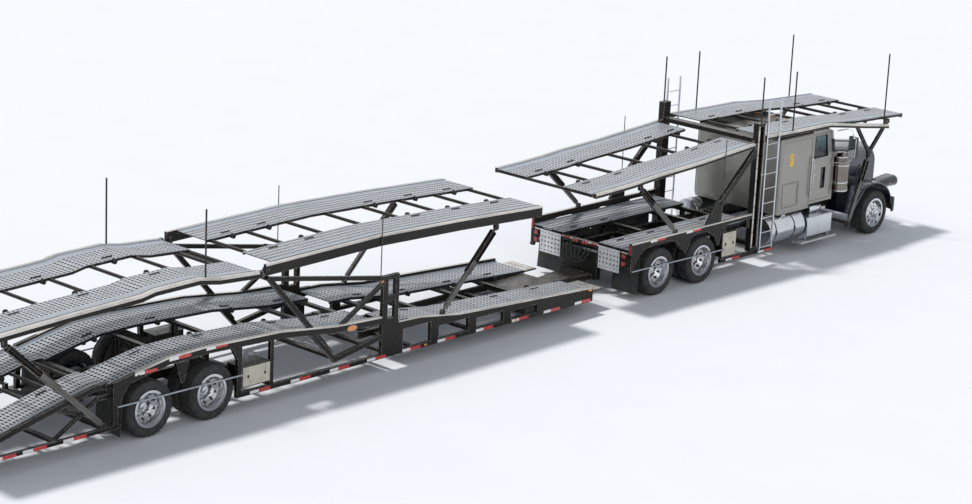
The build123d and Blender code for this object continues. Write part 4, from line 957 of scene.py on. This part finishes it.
# Doors of the side boxes, with their latches and levers
for name, body, x, z in (("control_box_doors", "tractor", (6.015, 6.425), (0.425, 0.895)),
                         ("locker_doors", "trailer", (-6.41, -5.83), (0.415, 0.735))):
    cover = Mesh()
    cover.box(x, (SIDE_OUTER, SIDE_OUTER + 0.008), z, 0.004)
    both(name, cover, beige_panel, body)
latches = Mesh()
for x in (6.1, 6.34):
    latches.box(around(x, 0.015), (SIDE_OUTER + 0.006, SIDE_OUTER + 0.02), (0.64, 0.7), 0.004)
knob = [(0, -0.008), (0.012, -0.004), (0.013, 0.008), (0, 0.014)]
for index in range(8):
    x = 6.03 + index * 0.05
    latches.tube([(x, 1.2, 0.91), (x, 1.205, 0.98), (x, 1.23, 1.0)], 0.006, 6)
    latches.turned((x, 1.23, 1.0), (0, 1, 0.4), knob, 10)
both("control_levers", latches, dark_steel, "tractor")
latches = Mesh()
for x in (-6.3, -5.94):
    latches.box(around(x, 0.015), (SIDE_OUTER + 0.006, SIDE_OUTER + 0.018), (0.55, 0.6), 0.004)
both("locker_latches", latches, dark_steel, "trailer")


# Rows of bolts on the outer faces, each from its first to its last (x, z)
def bolt_rows(rows):
    shape = Mesh()
    for start, end, count, radius in rows:
        for index in range(count):
            t = index / (count - 1)
            x = start[0] + (end[0] - start[0]) * t
            z = start[1] + (end[1] - start[1]) * t
            shape.bolt((x, SIDE_OUTER, z), ACROSS, radius, 0.009)
    return shape


RAIL_BOLT = 0.011
MAST_BOLT = 0.008
trailer_bolts = bolt_rows([
    ((-3.25, 0.34), (-3.25, 0.9), 5, RAIL_BOLT), ((-2.95, 0.34), (-2.95, 0.8), 5, RAIL_BOLT),
    ((-3.25, 1.35), (-3.25, 1.66), 4, RAIL_BOLT), ((-8.9, 1.0), (-8.55, 1.07), 3, RAIL_BOLT),
    ((-7.7, 0.85), (-7.7, 1.05), 3, RAIL_BOLT), ((-6.48, 0.7), (-6.48, 1.05), 4, RAIL_BOLT),
    ((1.2, 0.36), (2.05, 0.36), 8, RAIL_BOLT), ((-5.76, 0.5), (-5.76, 1.0), 5, RAIL_BOLT),
])
both("trailer_bolts", trailer_bolts, dark_steel, "trailer")
tractor_bolts = bolt_rows([
    ((4.75, 0.95), (5.02, 1.02), 3, RAIL_BOLT), ((4.8, 0.88), (4.92, 0.88), 2, RAIL_BOLT),
    ((5.9, 0.85), (5.98, 1.08), 3, RAIL_BOLT), ((3.3, 0.9), (3.3, 1.1), 3, RAIL_BOLT),
    ((6.96, 0.5), (6.96, 2.85), 10, MAST_BOLT), ((7.11, 0.5), (7.11, 2.85), 10, MAST_BOLT),
])
both("tractor_bolts", tractor_bolts, dark_steel, "tractor")


# Tie down fittings: ratchets beside the tracks and short bars over them
def height_on(line, x):
    """The height of a line of (x, z) points at x, held at its ends."""
    points = sorted(line)
    for (x0, z0), (x1, z1) in zip(points, points[1:]):
        if x0 <= x <= x1:
            return z0 + (z1 - z0) * (x - x0) / (x1 - x0)
    return points[0][1] if x < points[0][0] else points[-1][1]


RATCHET_WHEEL = [(0.024, 0), (0.042, 0), (0.042, 0.008), (0.024, 0.008)]
BAR_HALF = 0.1
BAR_RISE = 0.014


def ratchets(line, places):
    """A post, a drum with its two wheels and a bar at each place along a track."""
    shape = Mesh()
    for x in places:
        z = height_on(line, x) + 0.03
        shape.tube([(x, TRACK_INNER - 0.03, z - 0.06), (x, TRACK_INNER - 0.03, z)], 0.012, 8)
        shape.tube([(x, 0.36, z - 0.05), (x, TRACK_INNER - 0.01, z - 0.05)], 0.024, 12)
        for y in (0.37, 0.42):
            shape.turned((x, y, z - 0.05), ACROSS, RATCHET_WHEEL, 16, False)
        ends = [(end, TRACK_INNER + 0.14, height_on(line, end) + BAR_RISE) for end in around(x, BAR_HALF)]
        shape.beam(*ends, 0.026, 0.014, 0.003)
    return shape


ratchet_places = {
    "tractor_deck_plates": (2.6, 3.5, 5.8, 6.5), "headrack_plates": (7.8, 8.7, 10.7, 11.6),
    "front_deck_plates": (-5.2, -4.4, -1.9, -0.9, 0.1), "rear_deck_plates": (-7.7, -9.1, -10.4, -11.5),
    "tractor_lower_plates": (3.7, 4.6, 6.2), "trailer_front_lower_plates": (-2.1, -1.0, 0.2, 1.3),
    "trailer_bogie_plates": (-8.1, -6.8, -5.2, -4.0), "ramp_plates": (-9.9, -10.8, -11.6),
}
decks = {row[0]: row for row in plate_decks}
for name, places in ratchet_places.items():
    label = name.replace("_plates", "_ratchets")
    both(label, ratchets(decks[name][-1], places), dark_steel, decks[name][1])

# Cab doors: side glass in rubber and a grab handle
GLASS_OUTER, GLASS_INNER = 1.038, 1.032
SEAL_Y, SEAL_INSET = 1.052, 0.006
HANDLE_X = 9.115
for side, sign in SIDES.items():
    body = f"door_{side}"
    glass = Mesh()
    seal = Mesh()
    outlines = [[(9.15, 1.9), (9.64, 1.9), (9.56, 2.365), (9.15, 2.365)]]
    if side == "right":
        outlines.append([(9.43, 1.24), (9.58, 1.24), (9.58, 1.68), (9.43, 1.68)])
    for outline in outlines:
        cx = sum(p[0] for p in outline) / 4
        cz = sum(p[1] for p in outline) / 4
        verts = [(x, y * sign, z) for y in (GLASS_OUTER, GLASS_INNER) for x, z in outline]
        glass.add(verts, [(0, 1, 2, 3), (7, 6, 5, 4)] + band(0, 4, 4))
        ring = [(x + math.copysign(SEAL_INSET, cx - x), SEAL_Y * sign, z + math.copysign(SEAL_INSET, cz - z))
                for x, z in outline]
        seal.tube(ring + ring[:1], 0.013, 6, False)
    piece(f"side_glass_{side}", glass, door_glass, body)
    piece(f"window_seals_{side}", seal, seal_rubber, body)
    bright = Mesh()
    near, far = 1.062 * sign, 1.1 * sign
    bright.tube([(HANDLE_X, near, 1.27), (HANDLE_X, far, 1.29), (HANDLE_X, far, 1.8), (HANDLE_X, near, 1.82)],
                0.012, 10)
    bright.box((9.13, 9.23), (1.085 * sign, 1.09 * sign), (1.565, 1.585), 0.004)
    piece(f"door_handle_{side}", bright, chrome, body)

# Grab rail on the sleeper, strip over the windshield, roof lamps and wipers
cab_bright = Mesh()
cab_bright.tube([(9.02, 1.082, 1.15), (9.02, 1.12, 1.17), (9.02, 1.12, 1.95), (9.02, 1.082, 1.97)], 0.013, 10)
cab_bright.box((9.77, 9.8), (0.12, 0.95), (2.36, 2.375), 0.003)
both("cab_bright_trim", cab_bright, chrome, "tractor")
roof_lamps = Mesh()
for y in (0.0, 0.38, -0.38, 0.76, -0.76):
    round_lamp(roof_lamps, (9.56, y, 2.478), (0.05, 0, 1), 0.035, 0.03)
piece("cab_roof_lamps", roof_lamps, amber_lens, "tractor")
wipers = Mesh()
for y in (0.25, 0.75):
    wipers.tube([(9.852, y, 1.93), (9.83, y - 0.12, 2.06), (9.8, y - 0.16, 2.24)], 0.006, 6)
    wipers.beam((9.846, y - 0.14, 1.99), (9.785, y - 0.17, 2.31), 0.012, 0.02, 0.002)
both("wipers", wipers, black_plastic, "tractor")

# Windshield frame of rubber
screen_seal = Mesh()
ring = [(9.8456, 0.045, 1.94), (9.8456, 0.93, 1.94), (9.7736, 0.93, 2.34), (9.7736, 0.045, 2.34)]
screen_seal.tube(ring + ring[:1], 0.014, 6, False)
both("windshield_seal", screen_seal, seal_rubber, "tractor")

# Sleeper side: seams, blank label, rivets, and the rim and knob of each luggage door
SLEEPER_Y = 1.08
SEAM_HEIGHTS = (0.93, 2.36)
RIVET = [(0.006, 0), (0.005, 0.003), (0, 0.004)]
sleeper = Mesh()
for z in SEAM_HEIGHTS:
    sleeper.box((8.1, 9.04), (SLEEPER_Y, SLEEPER_Y + 0.006), around(z, 0.012), 0.003)
sleeper.box((9.03, 9.052), (SLEEPER_Y, SLEEPER_Y + 0.008), (0.92, 2.38), 0.003)
sleeper.box((8.02, 8.04), (1.058, 1.066), (0.95, 2.3), 0.003)
both("sleeper_seams", sleeper, cab_paint, "tractor")
label = Mesh()
label.box((8.29, 8.42), (-SLEEPER_Y - 0.002, -SLEEPER_Y), (1.86, 2.12), 0.0015)
piece("blank_label", label, label_film, "tractor")
rivets = Mesh()
for index in range(18):
    for z in SEAM_HEIGHTS:
        rivets.turned((8.12 + index * 0.053, SLEEPER_Y + 0.006, z), ACROSS, RIVET, 8)
for index in range(26):
    rivets.turned((9.041, SLEEPER_Y + 0.008, 0.95 + index * 0.056), ACROSS, RIVET, 8)
both("sleeper_rivets", rivets, cab_paint, "tractor")
door_line = [(8.13, 1.05), (8.62, 1.05), (8.62, 1.49), (8.13, 1.49)]
knob = [(0.022, 0), (0.022, 0.006), (0.012, 0.01), (0, 0.01)]
for side, sign in SIDES.items():
    latch = Mesh()
    latch.turned((8.16, SLEEPER_Y * sign, 1.1), (0, sign, 0), knob, 16)
    y = (SLEEPER_Y + 0.002) * sign
    for (x0, z0), (x1, z1) in zip(door_line, door_line[1:] + door_line[:1]):
        latch.beam((x0, y, z0), (x1, y, z1), 0.008, 0.012, 0.002)
    piece(f"luggage_door_trim_{side}", latch, cab_paint, f"luggage_door_{side}")

# Air cleaners: bands and lid
cleaner = Mesh()
for z in (1.115, 1.285, 1.645, 1.825):
    strap = [(0.172, 0), (0.178, 0.004), (0.178, 0.026), (0.172, 0.03)]
    cleaner.turned((10.08, 1.08, z), UP, strap, 40)
cleaner.turned((10.08, 1.08, 1.902), UP, [(0.098, 0), (0.09, 0.018), (0.04, 0.026), (0, 0.027)], 32)
both("air_cleaner_bands", cleaner, chrome, "tractor")

# Mirrors: chrome shells, glass and brackets
mirror_shell = Mesh()
mirror_shell.box((9.985, 10.06), (1.288, 1.488), (1.855, 2.305), 0.012)
mirror_shell.tube([(9.83, 1.1, 2.4), (9.95, 1.28, 2.46), (10.02, 1.36, 2.42), (10.02, 1.38, 2.3)], 0.011, 8)
mirror_shell.tube([(10.02, 1.38, 1.86), (10.02, 1.36, 1.8), (9.97, 1.28, 1.74), (9.87, 1.06, 1.72)], 0.011, 8)
both("mirror_shells", mirror_shell, chrome, "tractor")
mirror_glass = Mesh()
mirror_glass.box((9.979, 9.985), (1.3, 1.476), (1.87, 2.29), 0.002)
mirror_face = bright_metal("mirror_face", (0.75, 0.8, 0.84), 0.02)
both("mirror_glass", mirror_glass, mirror_face, "tractor")

# Hood: grille surround and bars, lamps
hood_bright = Mesh()
for z in (0.775, 1.485):
    hood_bright.box((12.085, 12.105), (-0.45, 0.45), around(z, 0.012), 0.004)
for y in (-0.445, 0.445):
    hood_bright.box((12.085, 12.105), around(y, 0.012), (0.765, 1.495), 0.004)
for index in range(21):
    hood_bright.box((12.08, 12.086), around(-0.4 + index * 0.04, 0.004), (0.79, 1.475), 0.001)
piece("grille_trim", hood_bright, chrome, "hood")
lamp_rims = Mesh()
lamp_lens = Mesh()
FACE_X, LAMP_Z = 12.1105, 1.015
for y in (0.872, 1.064):
    rim = [(0.084, 0), (0.09, 0.006), (0.09, 0.018), (0.077, 0.024)]
    lamp_rims.turned((FACE_X, y, LAMP_Z), ALONG, rim, 28)
    dome = [(0.078, 0.016), (0.06, 0.024), (0.03, 0.029), (0, 0.03)]
    lamp_lens.turned((FACE_X, y, LAMP_Z), ALONG, dome, 28)
bezel = [(FACE_X + 0.003, 0.968 + math.copysign(0.0825, c) + 0.104 * c, LAMP_Z + 0.104 * s)
         for c, s in circle(24, 0.5)]
lamp_rims.tube(bezel + bezel[:1], 0.007, 6, False)
both("headlamp_rims", lamp_rims, chrome, "hood")
both("headlamp_lenses", lamp_lens, clear_lens, "hood")
signal = Mesh()
oval_lamp(signal, (11.86, 1.146, 0.995), 0.03, 0.014)
both("signal_lamps", signal, amber_lens, "hood")

# Fuel tank straps, cap and end rings; small air tank; step grating
TANK_Y, TANK_Z = 0.93, 0.598
straps = Mesh()
for x in (7.84, 8.45):
    strap = [(0.2856, -0.013), (0.29, -0.012), (0.29, 0.012), (0.2856, 0.013)]
    straps.turned((x, TANK_Y, TANK_Z), ALONG, strap, 48, False)
    straps.box(around(x, 0.022), (1.205, 1.228), (0.56, 0.64), 0.004)
both("tank_straps", straps, seal_rubber, "tractor")
tank_bits = Mesh()
for x in (7.655, 8.785):
    tank_bits.turned((x, TANK_Y, TANK_Z), ALONG, [(0.2855, -0.012), (0.29, 0), (0.2855, 0.012)], 48)
cap_axis = Vector((0, 0.45, 0.9)).normalized()
cap_place = Vector((8.2, TANK_Y, TANK_Z)) + cap_axis * 0.284
cap = [(0.045, 0), (0.045, 0.02), (0.055, 0.022), (0.055, 0.05), (0.04, 0.056), (0, 0.056)]
tank_bits.turned(cap_place, cap_axis, cap, 24)
air_tank = [(0, 0), (0.05, 0.01), (0.072, 0.04), (0.072, 0.37), (0.05, 0.4), (0, 0.41)]
tank_bits.turned((9.16, 1.0, 0.83), ALONG, air_tank, 28)
for x in (9.25, 9.48):
    tank_bits.box(around(x, 0.015), (0.985, 1.015), (0.745, 0.765), 0.003)
both("tank_fittings", tank_bits, tank_metal, "tractor")
tread = Mesh()
tread.box((8.684, 9.866), (1.004, 1.2415), (0.2454, 0.2494), 0.0015)
tread.box((8.684, 9.866), (1.2454, 1.2484), (0.2175, 0.2494), 0.0012)
both("step_treads", tread, zinc_pale, "tractor")
grating = Mesh()
for index in range(22):
    x = 8.72 + index * 0.052
    grating.beam((x, 1.01, 0.2505), (x, 1.235, 0.2505), 0.012, 0.006, 0.002, ALONG)
grating.box((8.835, 9.66), (1.246, 1.254), (0.36, 0.735), 0.003)
grating.box((8.86, 9.635), (1.02, 1.23), (0.745, 0.752), 0.003)
both("step_grating", grating, brushed, "tractor")

# Bumper lamps
bumper_bits = Mesh()
for y in (0.35, 0.62):
    bumper_bits.turned((12.2, y, 0.51), ALONG, [(0.05, 0), (0.05, 0.003), (0.04, 0.006), (0, 0.007)], 20)
both("bumper_lamps", bumper_bits, clear_lens, "tractor")


# Crowned pads over the plain seats
BACK_LEAN = 0.1


def pad(shape, place, half, crown, upright):
    """A crowned cushion as two grids that bulge up and down, or fore and aft and leaning if upright."""
    count = 8
    x, y, z = place
    thick = half[0] if upright else half[2]
    steps = [i / count * 2 - 1 for i in range(count + 1)]
    faces = []
    for i in range(count):
        for a in range(i * (count + 1), i * (count + 1) + count):
            faces.append((a, a + 1, a + count + 2, a + count + 1))
    for sign in (-1, 1):
        verts = []
        for u in steps:
            for v in steps:
                bulge = sign * (thick - crown + crown * (1 - u ** 4) * (1 - v ** 4))
                if upright:
                    rise = v * half[2]
                    lean = -BACK_LEAN * (rise + half[2])
                    verts.append((x + bulge + lean, y + u * half[1], z + rise))
                else:
                    verts.append((x + u * half[0], y + v * half[1], z + bulge))
        shape.add(verts, faces, True)


seat_pads = Mesh()
for y in (-0.5, 0.5):
    pad(seat_pads, (9.385, y, 1.3125), (0.245, 0.26, 0.0875), 0.03, False)
    pad(seat_pads, (9.21, y, 1.74), (0.08, 0.25, 0.36), 0.03, True)
seats = piece("seat_pads", seat_pads, seat_cloth, "tractor")

# Hoses held along the headrack legs, with a loop behind the top of each barrel
hoses = Mesh()
for y, reach in ((1.218, 0.0), (1.244, 0.03)):
    hoses.tube([(10.29, y, 0.585), (10.401, y, 0.864), (10.512, y, 1.143), (10.487, y, 1.28),
                (10.455 - reach, y, 1.4), (10.462 - reach, y, 1.52 + reach), (10.52, y, 1.6 + reach),
                (10.575 + reach, y, 1.54), (10.582, y, 1.42), (10.59, y, 1.304), (10.584, y, 1.254)],
               0.009, 8)
both("leg_hoses", hoses, seal_rubber, "headrack_barrels")

# Floor
FLOOR_HALF = 140
pale_floor = Shader("floor_pale", Roughness=0.85)
pale_floor.colour(pale_floor.mix(pale_floor.noise(0.6, 4), (0.74, 0.74, 0.745), (0.78, 0.78, 0.785)))
floor_mesh = bpy.data.meshes.new("floor")
corners = [(FLOOR_HALF * x, FLOOR_HALF * y, 0) for x, y in ((-1, -1), (1, -1), (1, 1), (-1, 1))]
floor_mesh.from_pydata(corners, [], [(0, 1, 2, 3)])
floor = bpy.data.objects.new("floor", floor_mesh)
floor.data.materials.append(pale_floor.material)
bpy.context.scene.collection.objects.link(floor)

# A blue sky that lights the truck, and a pale one that is seen, through glass and in polished faces too
world = bpy.data.worlds.new("studio")
bpy.context.scene.world = world
world.use_nodes = True
tree = world.node_tree
tree.nodes.clear()


def background(colour, strength):
    return add_node(tree, "ShaderNodeBackground", {"Color": (*colour, 1), "Strength": strength}).outputs[0]


ray = add_node(tree, "ShaderNodeLightPath").outputs
seen = ray["Is Camera Ray"]
for other in ("Is Transmission Ray", "Is Glossy Ray"):
    seen = add_node(tree, "ShaderNodeMath", {0: seen, 1: ray[other]}, operation="MAXIMUM").outputs[0]
skies = {0: seen, 1: background((0.72, 0.8, 0.92), 0.55), 2: background((0.86, 0.88, 0.9), 1.0)}
sky = add_node(tree, "ShaderNodeMixShader", skies).outputs[0]
add_node(tree, "ShaderNodeOutputWorld", {"Surface": sky})


def sun(name, place, target, energy, spread):
    """A sun lamp that shines from one place towards another, its spread in degrees."""
    data = bpy.data.lights.new(name, "SUN")
    data.energy = energy
    data.angle = math.radians(spread)
    item = bpy.data.objects.new(name, data)
    item.location = place
    item.rotation_euler = (Vector(target) - Vector(place)).to_track_quat("-Z", "Y").to_euler()
    bpy.context.scene.collection.objects.link(item)


sun("sun", (-8, 10, 26), (0, 0, 0), 2.6, 6)
sun("fill", (-14, -30, 16), (0, 0, 1), 0.55, 40)

# The camera fitted to the photograph
YAW, PITCH, ROLL = 0.829, 0.272, 0.047
CAMERA_PLACE = (-32.223, -30.072, 13.592)
FOCAL_PIXELS = 2532.373
PHOTO_WIDTH = 972
SENSOR = 36.0
forward = Vector((math.sin(YAW) * math.cos(PITCH), math.cos(YAW) * math.cos(PITCH), -math.sin(PITCH)))
level = Vector((math.cos(YAW), -math.sin(YAW), 0))
upward = level.cross(forward)
right = level * math.cos(ROLL) + upward * math.sin(ROLL)
up = upward * math.cos(ROLL) - level * math.sin(ROLL)
camera_data = bpy.data.cameras.new("camera")
camera_data.sensor_width = SENSOR
camera_data.sensor_fit = "HORIZONTAL"
camera_data.lens = FOCAL_PIXELS * SENSOR / PHOTO_WIDTH
camera_data.clip_end = 400
camera = bpy.data.objects.new("camera", camera_data)
turn = Matrix((right, up, -forward)).transposed().to_4x4()
camera.matrix_world = Matrix.Translation(CAMERA_PLACE) @ turn
bpy.context.scene.collection.objects.link(camera)
bpy.context.scene.camera = camera
bpy.context.scene.view_settings.view_transform = "Standard"
